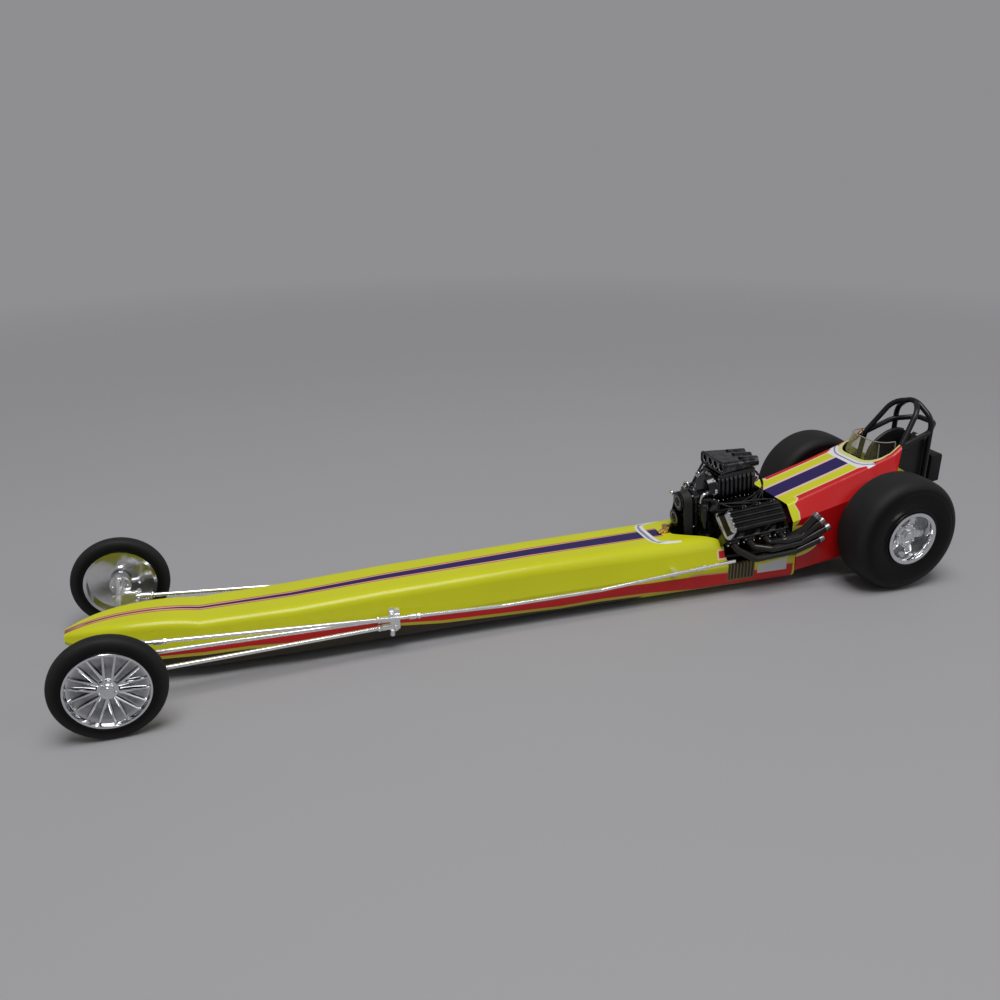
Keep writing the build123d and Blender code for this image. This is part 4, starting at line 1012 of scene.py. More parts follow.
def spoke_face():
    """Height field of a rear wheel's face, over radius and angle.

    The face rises from its rim seat to the hub. Windows between the spokes are sunk by a step; a window is a
    rounded wedge that widens with the radius, and each spoke is crowned by a cosine over its width.
    """
    radius = np.concatenate([np.linspace(1.6, 3.1, 12), np.linspace(3.2, 6.5, 46)])[:, None]
    turn = turns(300)[None, :]
    pitch = 2 * np.pi / REAR_SPOKES
    from_window = turn % pitch - pitch * (turn % pitch > pitch / 2)
    across = radius * np.sin(from_window) / (0.6 * (radius - 1.9))
    outwards = (radius * np.cos(from_window) - 4.85) / 1.5
    gap = (across**4 + outwards**4) ** 0.25 - 1
    sunk = np.clip(0.5 - gap / 0.12, 0, 1)
    rolled = np.exp(-np.clip(gap, 0, None) / 0.2)
    crown = 0.5 * np.cos((np.abs(from_window) - pitch / 2) * 2.4)
    dish = 4.1 + crown * np.clip((radius - 3.2) / 1.0, 0, 1) * np.clip((6.5 - radius) / 1.0, 0, 1)
    step = 0.35 * np.clip((3.4 - radius) / 0.3, 0, 1)
    out = dish + step - 0.35 * rolled - sunk * 2.0
    return out, radius, turn


SPOKE_MIDDLE = 5.1


class KIT_OT_front_rims(bpy.types.Operator):
    """Plated front rims: polished lip, dished backing, paired round spokes and a stepped hub"""

    bl_idname = "kit.front_rims"
    bl_label = "Front Rims"

    def execute(self, context):
        spoke = context.scene.kit_sizes.spoke / MM / 2
        # Painted shade: the dark colour on the dished backing between the spokes
        plating = wheel_plating("front_wheel_plating", FRONT_HUB, 0.1, 0.55, 2.35, 8.45, (0.04, 0.042, 0.042))
        reach = np.linspace(-3.5, 3.55, 9)
        out = 1.02 + 0.06 * np.cos(reach / 3.5 * np.pi / 2)
        stem = [(0, 0.2), (0.9, 0.18), (0.95, 0.24), (1.25, 0.24), (1.3, 0.05)]
        for side, hand in SIDES:
            rim = Shell(f"front_rim_{hand}", 30)
            outwards = (0, side, 0)
            rim.spin(FRONT_RIM_ROWS, wheel_spot(FRONT_HUB, side, 0, 0, 0), outwards, 96)
            for number in range(2 * FRONT_PAIRS):
                lean = 2 * (number % 2) - 1
                turn = math.radians(number // 2 * 360 / FRONT_PAIRS + lean * 8.5)
                way = turn + math.radians(7.0) * lean
                ahead = SPOKE_MIDDLE * math.cos(turn) + reach * math.cos(way)
                rise = SPOKE_MIDDLE * math.sin(turn) + reach * math.sin(way)
                path = wheel_spot(FRONT_HUB, side, out, np.hypot(ahead, rise), np.arctan2(rise, ahead))
                rim.pipe(path, np.linspace(spoke, spoke * 0.72, 9), 10)
            for turn in turns(5):
                rim.bolt(wheel_spot(FRONT_HUB, side, 1.38, 1.78, turn + 0.3), outwards, 0.17, 0.22)
            rim.spin(stem, wheel_spot(FRONT_HUB, side, 0.75, 7.9, 0.35), outwards, 12)
            rim.make("chrome", plating, body=f"front_{hand}_wheel", stands_for=[f"rim_front_{hand}"])
        return {"FINISHED"}


class KIT_OT_rear_rims(bpy.types.Operator):
    """Plated rear rims: five crowned spokes between round windows, deep lip, nuts and cap"""

    bl_idname = "kit.rear_rims"
    bl_label = "Rear Rims"

    def execute(self, context):
        # Painted shade: the dark colour in the sunk windows between the spokes
        plating = wheel_plating("rear_wheel_plating", REAR_HUB, 1.9, 3.9, 3.2, 6.42, (0.05, 0.05, 0.052))
        disc = [(2.2, 2.6), (2.75, 2.7), (2.75, 6.6), (2.2, 6.7)]
        cap = [(4.2, 1.95), (4.95, 1.9), (5.05, 1.75), (5.1, 1.45), (5.5, 1.38), (5.62, 1.2), (5.7, 0.8),
               (5.75, 0.05)]
        for side, hand in SIDES:
            rim = Shell(f"rear_rim_{hand}", 34)
            centre, way = wheel_spot(REAR_HUB, side, 0, 0, 0), (0, side, 0)
            rim.spin(REAR_BARREL_ROWS, centre, way, 120)
            rim.add(wheel_spot(REAR_HUB, side, *spoke_face()))
            # Near-black disc behind the windows: painted shade seen through them
            rim.spin(disc, centre, way, 60, 1, loop=True)
            rim.spin(cap, centre, way, 48)
            for turn in turns(context.scene.kit_sizes.lug_nuts):
                spot = wheel_spot(REAR_HUB, side, 4.4, 2.7, turn)
                rim.spin([(-0.1, 0.62), (0.06, 0.6), (0.1, 0.5)], spot, way)
                rim.bolt(spot, way, 0.42, 0.55)
            stands_for = [f"rim_rear_{hand}"]
            rim.make("chrome", plating, "dark_inside", body=f"rear_{hand}_wheel", stands_for=stands_for)
        return {"FINISHED"}


BLOWER_FRONT, BLOWER_BASE, BLOWER_TOP, BLOWER_MID = 48.2, 25.6, 34.7, 29.85
COVER_REACH = 14.0
HEAD_MID = 40.6
TOWER_WAYS = ((math.cos(0.3), math.sin(0.3), 0), (-math.sin(0.3), math.cos(0.3), 0))
PORTS = (47.8, 42.8, 37.6, 32.6)
PORT_REACH = 11.91
PORT_OUT = 4.5
PIPE_REACH = 4.2
HEADER_MIDS = ((29.6, -4.9), (28.0, -2.5), (27.6, -0.6), (27.2, 1.4))
HEADER_ENDS = ((21.2, -2.6), (19.4, 0.7), (21.4, 3.2), (23.2, 5.4))


class KIT_OT_engine(bpy.types.Operator):
    """Finishes of the engine's pieces and drive belt, with bolts, gaskets, throats and pulley detail"""

    bl_idname = "kit.engine"
    bl_label = "Engine"

    def execute(self, context):
        heads = ("cylinder_head_left", "cylinder_head_right")
        coat("engine_black_paint", "engine_block", "oil_pan", "blower_manifold", "bellhousing", *heads)
        coat("cover_plating", "valve_cover_left", "valve_cover_right")
        coat("black_plating", "blower")
        coat("drive_black_paint", "blower_drive", "magneto")
        coat("drive_belt_rubber", "drive_belt")
        coat("scoop_plating", "injector_scoop")
        coat("bare_steel", "butterflies")
        head = context.scene.kit_sizes.bolt_head / MM / 2
        bolts = Shell("engine_bolts")
        # Blower: front plate with its bolts, flange bolts, plug with an elbow
        plate = [(0.02, 0.12), (0.12, 0), (0.5, 0), (0.6, 0.12)]
        bolts.prism(rounded(9.5, 8.6, 3.9, 6), plate, (BLOWER_FRONT, 0, BLOWER_MID), AHEAD, LEFT, 1)
        for across, up in rounded(8.7, 7.8, 3.6, 3):
            bolts.bolt((BLOWER_FRONT + 0.6, across, BLOWER_MID + up), AHEAD, head * 1.5, 0.5)
        for station in np.arange(38.1, 48.0, 1.3875):
            for up, way in ((BLOWER_BASE + 1.1, UP), (BLOWER_TOP - 1.1, DOWN)):
                for side in (1, -1):
                    bolts.bolt((station, side * 3.95, up), way, head * 0.8, 0.35)
        plug = [(-0.3, 0.95), (0.25, 0.95), (0.3, 0.7), (0.75, 0.66), (0.85, 0.5), (0.86, 0.05)]
        bolts.spin(plug, (48.9, 3.3, 28.6), (1, 0.35, 0), 28)
        elbow = [(50.6, 2.7, 29.2), (52.0, 3.0, 29.0), (52.9, 3.1, 28.0), (53.0, 3.1, 26.9)]
        bolts.pipe(smooth(elbow, 6), 0.5, 14)
        bolts.bolt((52.9, 3.1, 27.2), DOWN, 0.72, 0.6)
        bolts.bolt((51.0, 2.8, 29.15), (-1, -0.1, 0), 0.72, 0.6)
        # Drive: hubs, rings and lips of the three pulleys, and the plate's bolts
        hub = [(-0.2, 1.25), (0.25, 1.2), (0.3, 0.95), (0.45, 0.9), (0.5, 0.5), (0.5, 0.05)]
        ring = [(58.3, 1.35), (58.85, 1.4), (58.95, 1.55), (58.85, 1.95), (58.3, 2.0)]
        lip = [(58.45, 2.42), (58.45, 2.62), (58.7, 2.62), (58.7, 2.42)]
        for left, up in ((0, 27.2), (-2.3, 21.2), (0, 11.4)):
            bolts.spin(hub, (58.35, left, up), AHEAD, 28, 1)
            bolts.bolt((58.8, left, up), AHEAD, 0.4, 0.3, 1)
            bolts.spin(ring, (0, left, up), AHEAD, 40, 3, loop=True)
            bolts.spin(lip, (0, left, up), AHEAD, 48, 1, loop=True)
        for left, up in ((-4.6, 28.6), (2.0, 28.9), (-4.7, 10.6), (2.3, 10.4), (-4.9, 19.0), (2.6, 19.6)):
            bolts.bolt((55.0, left, up), AHEAD, head * 1.1, 0.4)
        # Banks: gaskets and bolts of the covers, header flange bolts, core plugs; then the pan's bolts
        core = [(-0.1, 0.75), (0.12, 0.72), (0.14, 0.5), (0.02, 0.42), (0.02, 0.05)]
        for side in (1, -1):
            away, out = bank_way(side, 1, 0), bank_way(side, 0, 1)
            foot = bank(side, HEAD_MID, COVER_REACH - 0.28, 0)
            bolts.prism(rounded(20.5, 9.05, 1.5, 5), bevelled(0.3, 0.06, 0.1), foot, away, AHEAD, 2)
            for station in (32.0, 36.3, 40.6, 44.9, 49.2):
                for across in (-4.02, 4.02):
                    bolts.bolt(bank(side, station, COVER_REACH + 0.02, across), away, head * 0.62, 0.34)
            for port in PORTS:
                for step in (-1.62, 1.62):
                    bolts.bolt(bank(side, port + step, PORT_REACH, 5.1), out, head * 0.7, 0.3)
            for station in (34.9, 40.1, 45.3):
                bolts.spin(core, bank(side, station, 10.4, 4.3) + (0, side * 0.05, 0), out, 20, 2)
        for station in np.arange(33.0, 47.0, 2.7):
            for side in (1, -1):
                bolts.bolt((station, side * 4.6, 9.75), DOWN, head * 0.7, 0.3)
        finishes = ("chrome_plating", "black_plating", "engine_black_paint", "bare_steel")
        bolts.make("chrome", *finishes, rake=True)
        throats = Shell("scoop_throats")
        throats.ring(spread(47.55, *(rounded(12.3, 3.3, 0.9, 8) + (0, 36.9)).T), 0.3, 10, 1)
        for left in (-4.35, -1.45, 1.45, 4.35):
            throats.ring(circle_at((47.35, left, 36.95), (0, 1.25, 0), (0, 0, 1.3), 28), 0.24)
            # A near-black disc just inside each throat: painted shade in the throat
            throats.spin([(0, 1.2), (0.3, 1.2), (0.32, 0.05)], (46.7, left, 36.95), AHEAD, 24, 2)
        throats.make("black_chrome", "bare_steel", "scoop_plating", "dark_inside", rake=True)
        return {"FINISHED"}


class KIT_OT_headers(bpy.types.Operator):
    """Exhaust headers in black over plating, with collars and dark bores at their outlets: near-black plugs
    of painted shade.
    """

    bl_idname = "kit.headers"
    bl_label = "Headers"

    def execute(self, context):
        coat("header_black", "headers_left", "headers_right")
        collar = [(-1.4, 1.01), (-1.3, 1.1), (-0.15, 1.12), (0.0, 1.08), (0.02, 0.98), (-0.1, 0.86),
                  (-1.4, 0.86)]
        # A near-black plug inside each outlet: painted shade in the bore
        bore = [(-1.2, 0.05), (-1.2, 0.87), (-0.05, 0.87), (-0.02, 0.05)]
        tips = Shell("header_tips")
        for side in (1, -1):
            port = bank(side, 0, PORT_REACH, PORT_OUT) + (0, side * PIPE_REACH, 0)
            for (mid, mid_up), (end, end_up) in zip(HEADER_MIDS, HEADER_ENDS):
                far = port + (end, side * 0.5, end_up)
                way = unit(far - port - (mid, 0, mid_up))
                tips.spin(collar, far + way * 0.12, way, 28, loop=True)
                tips.spin(bore, far + way * 0.05, way, 24, 1)
        tips.make("dark_steel", "bare_steel", "dark_inside", rake=True)
        return {"FINISHED"}


class KIT_OT_ignition(bpy.types.Operator):
    """Magneto cap with its towers, and eight plug wires led back to boots in the valve covers"""

    bl_idname = "kit.ignition"
    bl_label = "Ignition"

    def execute(self, context):
        wire = context.scene.kit_sizes.plug_wire / MM / 2
        cap, wires, boots = Shell("magneto_cap"), Shell("plug_wires"), Shell("plug_boots")
        spot = np.array((52.3, 3.75, 26.3))
        dome = [(-1.6, 1.3), (-1.5, 1.62), (-1.1, 1.66), (-1.0, 1.4), (0.2, 1.36), (0.5, 1.1), (0.62, 0.05)]
        boot = [(-0.3, 0.55), (0.1, 0.55), (0.15, 0.4), (0.9, 0.34), (1.15, 0.27), (1.2, 0.1)]
        cap.spin(dome, spot, UP, 36)
        for number, tower in enumerate(circle_at(spot + (0, 0, 0.3), *TOWER_WAYS, 8)):
            side = 1 if number < 4 else -1
            order = number % 4
            station = (47.6, 43.2, 38.6, 34.0)[order]
            cap.spin([(0, 0.3), (0.5, 0.27), (0.7, 0.2), (0.72, 0.05)], tower, UP, 12)
            end = bank(side, station, 17.1, -3.0)
            away = bank_way(side, 1.0, -0.25)
            if side > 0:
                over = [tower + (-0.6, 0.4, 1.5), (49.4, 5.6, 27.4 - 0.3 * order)]
            else:
                over = [tower + (-0.5, -0.6, 1.2), (51.7, 1.0, 24.5 - 0.2 * order), (51.2, -3.4, 24.6)]
                over.append((49.2, -6.0, 26.4 - 0.3 * order))
            rail = (station + 3.2, side * (7.6 + 0.5 * order), 25.7 + 0.35 * order)
            route = [tower + (0, 0, 0.6), *over, rail, end + away * 1.5 + (0.9, 0, 0), end + away * 0.8]
            wires.pipe(smooth(route, 8), wire, 10)
            boots.spin(boot, end, away, 16)
        cap.make("black_chrome", "magneto_cap_plastic", rake=True)
        wires.make("belt_rubber", "ignition_wire_rubber", rake=True)
        boots.make("dark_steel", "bare_steel", rake=True)
        return {"FINISHED"}


class KIT_OT_fuel(bpy.types.Operator):
    """Fuel lines, nozzle pipes and their fittings round the blower and the front of the engine"""

    bl_idname = "kit.fuel"
    bl_label = "Fuel Lines"

    def execute(self, context):
        radius = context.scene.kit_sizes.fuel_line / MM / 2
        lines, ends = Shell("fuel_lines"), Shell("fuel_fittings")

        def fitting(spot, way, size=0.55):
            ends.prism(circle_of(size, 6), bevelled(0.5, 0.06, 0.06), spot, way, square_to(way)[0])
            ends.spin([(0.5, size * 0.7), (1.0, size * 0.62), (1.05, size * 0.5)], spot, way, 14)

        pump = [(-1.6, 1.5), (-1.5, 1.7), (0.9, 1.7), (1.0, 1.3), (1.8, 1.2), (1.9, 0.05)]
        ends.spin(pump, (50.6, -5.4, 16.6), AHEAD, 30, 1)
        for route in (
            [(52.6, -5.4, 16.9), (53.6, -6.2, 19.0), (52.4, -6.6, 24.5), (49.6, -6.4, 30.5),
             (46.6, -6.0, 35.9)],
            [(51.9, -4.5, 18.0), (53.2, -4.8, 20.4), (51.6, -5.6, 26.5), (47.6, -6.9, 31.6),
             (43.4, -5.6, 35.8)],
        ):
            route = np.array(route)
            lines.pipe(smooth(route, 8), radius)
            fitting(route[0], route[1] - route[0])
            fitting(route[-1], route[-2] - route[-1])
        hub = np.array((35.3, 0, 31.4))
        ends.add(block(4.6, 2.6, 1.3, 0.5, 0.25, hub + (0.9, 0, 0), (-1, 0, 0), LEFT), 1)
        for side in (1, -1):
            for order, station in enumerate((46.4, 42.2, 37.9, 34.4)):
                start = hub + (-0.4, side * (0.6 + 0.4 * order), 0.4 - 0.25 * order)
                end = (station, side * 6.6, 23.2)
                route = [start, start + (-1.1, side * 0.5, 0.1), (34.3, side * 5.3, 29.6 - 0.5 * order),
                         (35.4 + 0.25 * (station - 35), side * (6.4 + 0.12 * order), 27.3 - 0.4 * order),
                         (station - 0.6, side * 6.9, 25.0), end]
                lines.pipe(smooth(route, 7), radius * 0.45, 8, 1)
                fitting(end, (0, side * 0.2, 1), 0.36)
                fitting(start + (-0.1, 0, 0), (-1, 0, 0), 0.3)
        for spot, size in ((np.array((54.7, -2.4, 30.6)), 0.95), (np.array((51.2, -2.0, 33.4)), 0.7)):
            across = size * np.array((-0.4, 0.92, 0))
            ends.ring(circle_at(spot, across, (0, 0, size), 26), size * 0.3)
            ends.bolt(spot - (0.2, 0, 0), (1, 0.4, 0), size * 0.45, 0.6)
        nose = [(-1.6, 0.5), (0, 0.5), (0.05, 0.62), (0.5, 0.62), (0.56, 0.05)]
        ball = [(-0.75, 0.05), (-0.66, 0.36), (-0.4, 0.64), (0, 0.75), (0.4, 0.64), (0.66, 0.36),
                (0.75, 0.05)]
        ends.spin(nose, (54.4, -2.4, 30.6), AHEAD, 20, 1)
        ends.spin(ball, (59.3, -2.4, 29.2), UP)
        ends.spin([(-1.4, 0.3), (0.2, 0.3), (0.3, 0.05)], (59.2, -2.4, 29.1), AHEAD, 12)
        lines.make("dark_steel", "braided_line", "ignition_wire_rubber", rake=True)
        ends.make("chrome", "chrome_plating", "black_plating", rake=True)
        return {"FINISHED"}


BRACKET = 145.8
PLATE_AHEAD = WHEELBASE - 4.0
KINGPIN_LEFT = 22.8


class KIT_OT_suspension(bpy.types.Operator):
    """Plating of the front axle, rods and steering, with rod ends, lock nuts, clamps and kingpin caps"""

    bl_idname = "kit.suspension"
    bl_label = "Front Suspension"

    def execute(self, context):
        rods = ("radius_rods_left", "radius_rods_right", "steering_linkage", "drag_link")
        coat("rod_plating", "front_axle", *rods)
        small = Shell("rod_fittings")
        sleeve = [(0, 0.7), (0.1, 0.86), (2.4, 0.86), (2.5, 0.7), (2.6, 0.62)]
        for near_up, far_up in ((9.6, 13.1), (7.5, 8.3)):
            near, far = np.array((BRACKET, 11.9, near_up)), np.array((PLATE_AHEAD, 15.6, far_up))
            way = unit(far - near)
            small.spin(sleeve, near + way * 1.2, way)
            small.prism(circle_of(0.92, 6), bevelled(0.7, 0.1, 0.08), near + way * 3.9, way)
            small.spin(sleeve, far - way * 1.4, -way)
            small.prism(circle_of(0.88, 6), bevelled(0.6, 0.1, 0.08), far - way * 4.1, -way)
            small.ring(circle_at(far + (0.2, 0, 0), (0.95, 0, 0), (0, 0, 0.95)), 0.42, 12)
            small.bolt(far + (0.2, 0.75, 0), LEFT, 0.5, 0.45)
            small.bolt(near + (0, 0.75, 0), LEFT, 0.55, 0.5)
            small.ring(circle_at(near + (0.3, 0.2, 0), (1.1, 0, 0), (0, 0, 1.1)), 0.5, 12)
        for up, size in ((11.6, 0.85), (6.0, 0.7)):
            clamp = [(-1.1, size * 0.6), (-1.0, size), (1.0, size), (1.1, size * 0.6)]
            small.spin(clamp, (BRACKET + 0.9, 12.2, up), (0, 0.3, 1))
        cap = [(0, 1.12), (0.15, 1.2), (0.5, 1.2), (0.6, 1.0), (0.75, 0.62), (1.2, 0.58), (1.25, 0.3),
               (1.25, 0.05)]
        for way in (1, -1):
            small.spin(cap, (WHEELBASE, KINGPIN_LEFT, FRONT_TYRE_R + way * 2.45), (0, 0, way), 28)
        disc = [(-0.25, 0.85), (-0.25, 2.6), (-0.1, 2.75), (0.15, 2.75), (0.3, 2.6), (0.3, 0.85)]
        small.spin(disc, (WHEELBASE, 24.1, FRONT_TYRE_R), LEFT, 48, loop=True)
        for spot in circle_at((WHEELBASE, 23.85, FRONT_TYRE_R), (1.9, 0, 0), (0, 0, 1.9), 6):
            small.bolt(spot, (0, -1, 0), 0.28, 0.3)
        for ahead, up in ((-3.3, 0.45), (-3.3, -4.35), (1.1, 0.9)):
            small.bolt((WHEELBASE + ahead, 16.05, FRONT_TYRE_R + up), LEFT, 0.3, 0.3)
        small.bolt((WHEELBASE - 4.5, KINGPIN_LEFT, 10.9), UP, 0.6, 0.7)
        small.bolt((WHEELBASE - 4.5, KINGPIN_LEFT, 10.3), DOWN, 0.6, 0.5)
        small.both_sides()
        for spot, way, size in (
            ((142.6, 13.4, 10.2), (-1, -0.02, -0.07), 0.72),
            ((60.5, 13.65, 10.45), (-1, 0.03, 0.07), 0.7),
            ((203.4, 16.4, 16.0), (-1, -0.05, -0.1), 0.72),
        ):
            small.spin([(0, size * 0.75), (0.1, size), (1.9, size), (2.0, size * 0.75)], spot, way, 18)
            small.prism(circle_of(size * 1.12, 6), bevelled(0.6, 0.08, 0.08), spot + unit(way) * 2.3, way)
        small.make("chrome", "rod_plating")
        return {"FINISHED"}


SCREEN_FOOT, SCREEN_TOP = 30.0, 38.6
MOUTH_FRONT, MOUTH_HALF, MOUTH_CORNER = 1.6, 7.85, 4.5


def screen_plan(height, inset):
    """Plan of the screen at a height, from its left rear end round the front to its right rear end.

    The front moves back and the sides draw in evenly from foot to top; the corners are quarter circles.
    """
    share = (height - SCREEN_FOOT) / (SCREEN_TOP - SCREEN_FOOT)
    half = MOUTH_HALF - 0.1 - share * 0.4 - inset
    corner = MOUTH_CORNER - inset
    nose = MOUTH_FRONT - 0.05 - share * 2.55 - inset - corner
    bend = np.linspace(0, np.pi / 2, 14)
    curve = np.stack([nose + corner * np.sin(bend), half - corner + corner * np.cos(bend)], axis=-1)
    wing = np.linspace((-7.15, half), (nose, half), 16, endpoint=False)
    left = np.vstack([wing, curve])
    return np.vstack([left, (left * (1, -1))[::-1]])


def screen_wall(inset):
    """Upright grid of the screen; each column climbs in equal steps from its foot on the cowl's crown."""
    foot = np.interp(screen_plan(34.0, inset)[:, 0], *COWL_CROWN.T) - 0.5
    height = foot + (SCREEN_TOP - 0.05 - foot) * np.linspace(0, 1, 10)[:, None]
    ground = screen_plan(0, inset)
    drift = screen_plan(1, inset) - ground
    return np.concatenate([ground + drift * height[..., None], height[..., None]], axis=-1)


class KIT_OT_screen(bpy.types.Operator):
    """Tinted windscreen as a thin curved shell, with its edge trim and rivets"""

    bl_idname = "kit.screen"
    bl_label = "Windscreen"

    def execute(self, context):
        pane = Shell("windscreen_pane")
        pane.sheet(screen_wall(0.0), screen_wall(0.45))
        pane.make("tinted_screen", "tinted_screen", stands_for=["windscreen"])
        trim = Shell("screen_trim")
        trim.pipe(spread(*screen_plan(SCREEN_TOP - 0.1, 0.22).T, SCREEN_TOP - 0.16), 0.17, 8)
        for ahead, foot, side in ((-1.3, 33.9, 1), (-7.1, 36.4, 1), (-7.1, 36.4, -1)):
            rise = np.linspace(foot, SCREEN_TOP - 0.2, 8)
            trim.pipe(spread(ahead, side * (7.72 - 0.4 * (rise - SCREEN_FOOT) / 8.6), rise), 0.15, 8)
        trim.make("tinted_screen", "screen_edge_trim")
        rivets = Shell("screen_rivets")
        foot = screen_plan(33.0, -0.12)
        head = [(-0.1, 0.2), (0.1, 0.19), (0.16, 0.1), (0.17, 0.02)]
        for ahead, left in foot[foot[:, 0] > -6.5][2::4]:
            up = np.interp(ahead, *COWL_CROWN.T) + 0.5
            rivets.spin(head, (ahead, left, up), (max(ahead + 3.0, 0), left, 0), 10)
        rivets.make("dark_steel", "satin_black_trim")
        return {"FINISHED"}


def strap(path, wide, thick, facing):
    """Flat band along a smooth line: a rounded rectangle, wide across the line and the facing way."""
    path = smooth(path, 6)
    ahead = unit(np.gradient(path, axis=0))
    across = unit(np.cross(ahead, np.broadcast_to(facing, path.shape)))
    up = np.cross(across, ahead)
    outline = rounded(wide, thick, thick * 0.45, 4)
    return path[:, None] + outline[None, :, :1] * across[:, None] + outline[None, :, 1:] * up[:, None]


class KIT_OT_cockpit(bpy.types.Operator):
    """Driver's place: padded seat, belts with buckles, gauges and the yoke's grips"""

    bl_idname = "kit.cockpit"
    bl_label = "Cockpit"

    def execute(self, context):
        wide = context.scene.kit_sizes.strap / MM
        coat("seat_vinyl", "driver_seat")
        coat("satin_black_trim", "dash_panel")
        coat("frame_black_paint", "steering_yoke")
        # Pads swell from flat edges and are drawn in along upright channels
        across = np.linspace(-1, 1, 41)[None, :]
        channel = np.abs(np.sin(across * np.pi * 2.5)) ** 0.45

        def swell(share, power, deep):
            return (1 - across**4) * np.sin(np.pi * share) ** power * (0.5 + deep * channel)

        pads = Shell("seat_pads", 60)
        share = np.linspace(0, 1, 26)[:, None]
        left, height = across * 4.7, 16.2 + 20.0 * share
        front = swell(np.clip(share * 1.02, 0, 1), 0.25, 0.55) - 22.2
        pads.sheet(spread(front, left, height), spread(-22.46, left, height))
        length_share = np.linspace(0, 1, 22)[:, None]
        ahead = 13.2 * length_share - 21.2
        pads.sheet(spread(ahead, left, swell(length_share, 0.3, 0.6) + 15.45), spread(ahead, left, 15.35))
        roll = [(-8.3, 29.0), (-10.1, 33.1), (-14.0, 36.2), (-18.0, 37.4), (-20.8, 36.9)]
        for side in (1, -1):
            pads.pipe(smooth([(ahead, side * 5.7, up) for ahead, up in roll], 6), 0.62)
        pads.make("black_trim", "seat_vinyl")
        belts, buckles = Shell("harness_belts"), Shell("harness_buckles")
        over = [(-22.6, 2.0, 36.9), (-21.9, 2.0, 36.6), (-21.1, 1.9, 34.6), (-20.8, 1.8, 30.0),
                (-20.6, 1.5, 24.0), (-18.8, 1.0, 18.4), (-16.6, 0.8, 17.1)]
        lap = [(-19.6, 4.6, 18.2), (-18.6, 3.6, 18.2), (-17.0, 2.0, 17.5), (-15.9, 0.7, 17.2)]
        for side in (1, -1):
            belts.add(strap(np.array(over) * (1, side, 1), wide, 0.22, (1, 0, 0.35)))
            belts.add(strap(np.array(lap) * (1, side, 1), wide, 0.22, (0.5, 0, 1)))
            spot = (-20.55, side * 1.8, 30.0)
            buckles.add(block(wide * 1.25, 1.1, 0.3, 0.2, 0.08, spot, (1, 0, 0.1), LEFT))
        buckles.add(block(1.7, 1.7, 0.4, 0.3, 0.1, (-16.0, 0, 17.3), (0.2, 0, 1), LEFT))
        belts.make("black_trim", "belt_webbing")
        buckles.make("chrome", "chrome_plating")
        dials = Shell("dash_gauges")
        rim = [(0, 1.12), (0.45, 1.12), (0.6, 1.04), (0.6, 0.94), (0.4, 0.9), (0.3, 0.9), (0, 0.9)]
        for left, up, size in ((-4.6, 27.6, 1.25), (0, 28.4, 1.5), (4.6, 27.6, 1.25)):
            spot, back = (6.0, left, up), (-1, 0, 0)
            dials.spin(np.array(rim) * (1, size), spot, back, 32, loop=True)
            dials.spin([(0.05, size * 0.92), (0.35, size * 0.92), (0.36, 0.05)], spot, back, 32, 1)
            dials.pipe([(5.6, left, up), (5.6, left + size * 0.3, up + size * 0.65)], 0.06, 6, 2)
        dials.make("chrome", "chrome_plating", "dark_inside", "gauge_face")
        grips = Shell("yoke_grips")
        reach = np.linspace(0, 1, 25)
        for side in (1, -1):
            line = np.linspace((-0.65, side * 3.0, 30.4), (-1.4, side * 2.82, 32.75), 25)
            grips.pipe(line, 0.62 + 0.07 * np.sin(reach * np.pi * 14), 16)
        grips.spin([(0, 0.9), (0.5, 0.9), (0.7, 0.6), (0.75, 0.05)], (-0.35, 0, 29.75), (-1, 0, 0.35))
        grips.make("black_trim", "grip_rubber")
        return {"FINISHED"}


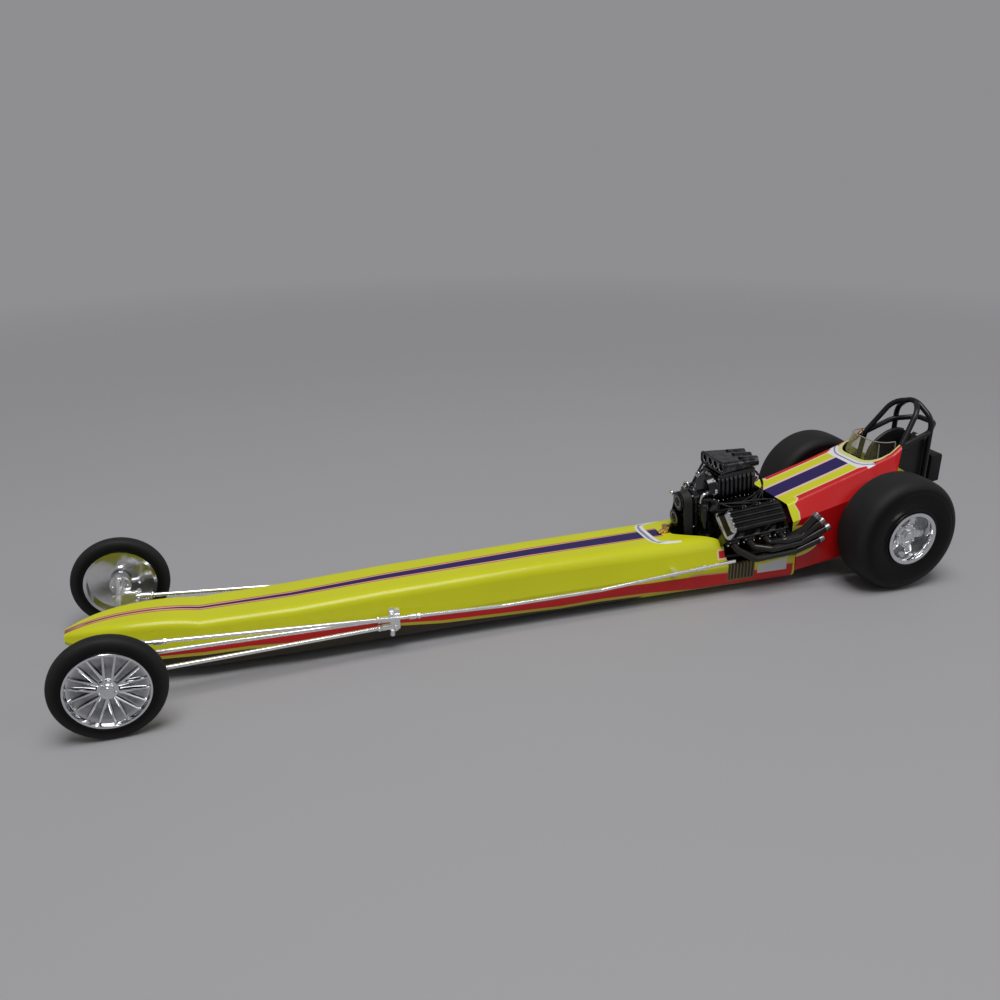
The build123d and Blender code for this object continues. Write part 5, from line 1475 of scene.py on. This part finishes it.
class KIT_OT_parachute(bpy.types.Operator):
    """Folded parachute pack: crowned canvas case, closing flap, straps and rip-cord ring"""

    bl_idname = "kit.parachute"
    bl_label = "Parachute Pack"

    def execute(self, context):
        low, high = (np.array(corner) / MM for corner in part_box("parachute_pack"))
        rear, front = low[0] - REAR_AXLE_X, high[0] - REAR_AXLE_X
        half, foot, top = high[1], low[2], high[2]
        waist = (foot + top) / 2
        # The case is drawn in at its ends and rippled round its girth; two flat rows close its rear
        outline = rounded(2 * half, top - foot, 0.6, 10)
        share = np.linspace(0, 1, 14)[:, None]
        pull = 0.38 - 0.3 * np.sin(np.pi * (0.12 + 0.76 * share)) ** 0.5
        ripple = 0.05 * np.sin(turns(len(outline)) * 7) * np.sin(np.pi * share)
        inset = np.vstack([np.full((1, len(outline)), 2.6), np.full((1, len(outline)), 0.9), pull + ripple])
        station = np.vstack([[[rear + 0.05]], [[rear + 0.05]], rear + (front - rear) * share])
        scale = 1 - inset / half
        pack = Shell("parachute_case", 60)
        pack.add(spread(station, outline[:, 0] * scale, outline[:, 1] * scale + waist))
        pack.make("black_trim", "pack_canvas", stands_for=["parachute_pack"])
        straps = Shell("parachute_straps")
        for left in (-2.7, 2.7):
            loop = [(front + 0.15, left, top - 0.35), (rear + 2.4, left, top), (rear + 0.6, left, top - 0.4),
                    (rear + 0.24, left, top - 2.0), (rear + 0.22, left, foot + 2.0),
                    (rear + 0.6, left, foot + 0.4), (front + 0.15, left, foot + 0.3)]
            straps.add(strap(loop, 1.1, 0.18, (-1, 0, 0.01)))
        straps.ring(circle_at((rear + 0.35, 0, waist - 0.6), (0, 0.8, 0), (0, 0, 0.8)), 0.17, 8, 1)
        straps.add(block(3.2, 1.0, 0.22, 0.3, 0.08, (rear + 0.25, 0, waist + 1.6), (-1, 0, 0), LEFT))
        straps.make("black_trim", "belt_webbing", "chrome_plating")
        return {"FINISHED"}


OPERATORS = [
    KIT_OT_stage, KIT_OT_body, KIT_OT_chassis, KIT_OT_tyres, KIT_OT_front_rims, KIT_OT_rear_rims,
    KIT_OT_engine, KIT_OT_headers, KIT_OT_ignition, KIT_OT_fuel, KIT_OT_suspension, KIT_OT_cockpit,
    KIT_OT_screen, KIT_OT_parachute,
]


class KIT_PT_panel(bpy.types.Panel):
    bl_idname = "KIT_PT_panel"
    bl_label = "Kit Car"
    bl_space_type = "VIEW_3D"
    bl_region_type = "UI"
    bl_category = "Kit Car"

    def draw(self, context):
        scene = context.scene
        for group in (scene.kit_paint, scene.kit_sizes, scene.kit_stage):
            box = self.layout.box()
            for name in group.bl_rna.properties.keys():
                if name not in {"rna_type", "name"}:
                    box.prop(group, name)
        for operator in OPERATORS:
            self.layout.operator(operator.bl_idname)


GROUPS = {"kit_paint": KitPaint, "kit_sizes": KitSizes, "kit_stage": KitStage}


def register():
    for item in (*GROUPS.values(), *OPERATORS, KIT_PT_panel):
        bpy.utils.register_class(item)
    for name, group in GROUPS.items():
        setattr(bpy.types.Scene, name, PointerProperty(type=group))


def unregister():
    for name in GROUPS:
        delattr(bpy.types.Scene, name)
    for item in (KIT_PT_panel, *reversed(OPERATORS), *reversed(GROUPS.values())):
        bpy.utils.unregister_class(item)


def main():
    register()
    bpy.ops.kit.stage()
    bpy.ops.kit.body()
    bpy.ops.kit.chassis()
    bpy.ops.kit.tyres()
    bpy.ops.kit.front_rims()
    bpy.ops.kit.rear_rims()
    bpy.ops.kit.engine()
    bpy.ops.kit.headers()
    bpy.ops.kit.ignition()
    bpy.ops.kit.fuel()
    bpy.ops.kit.suspension()
    bpy.ops.kit.cockpit()
    bpy.ops.kit.screen()
    bpy.ops.kit.parachute()


if __name__ == "__main__":
    main()
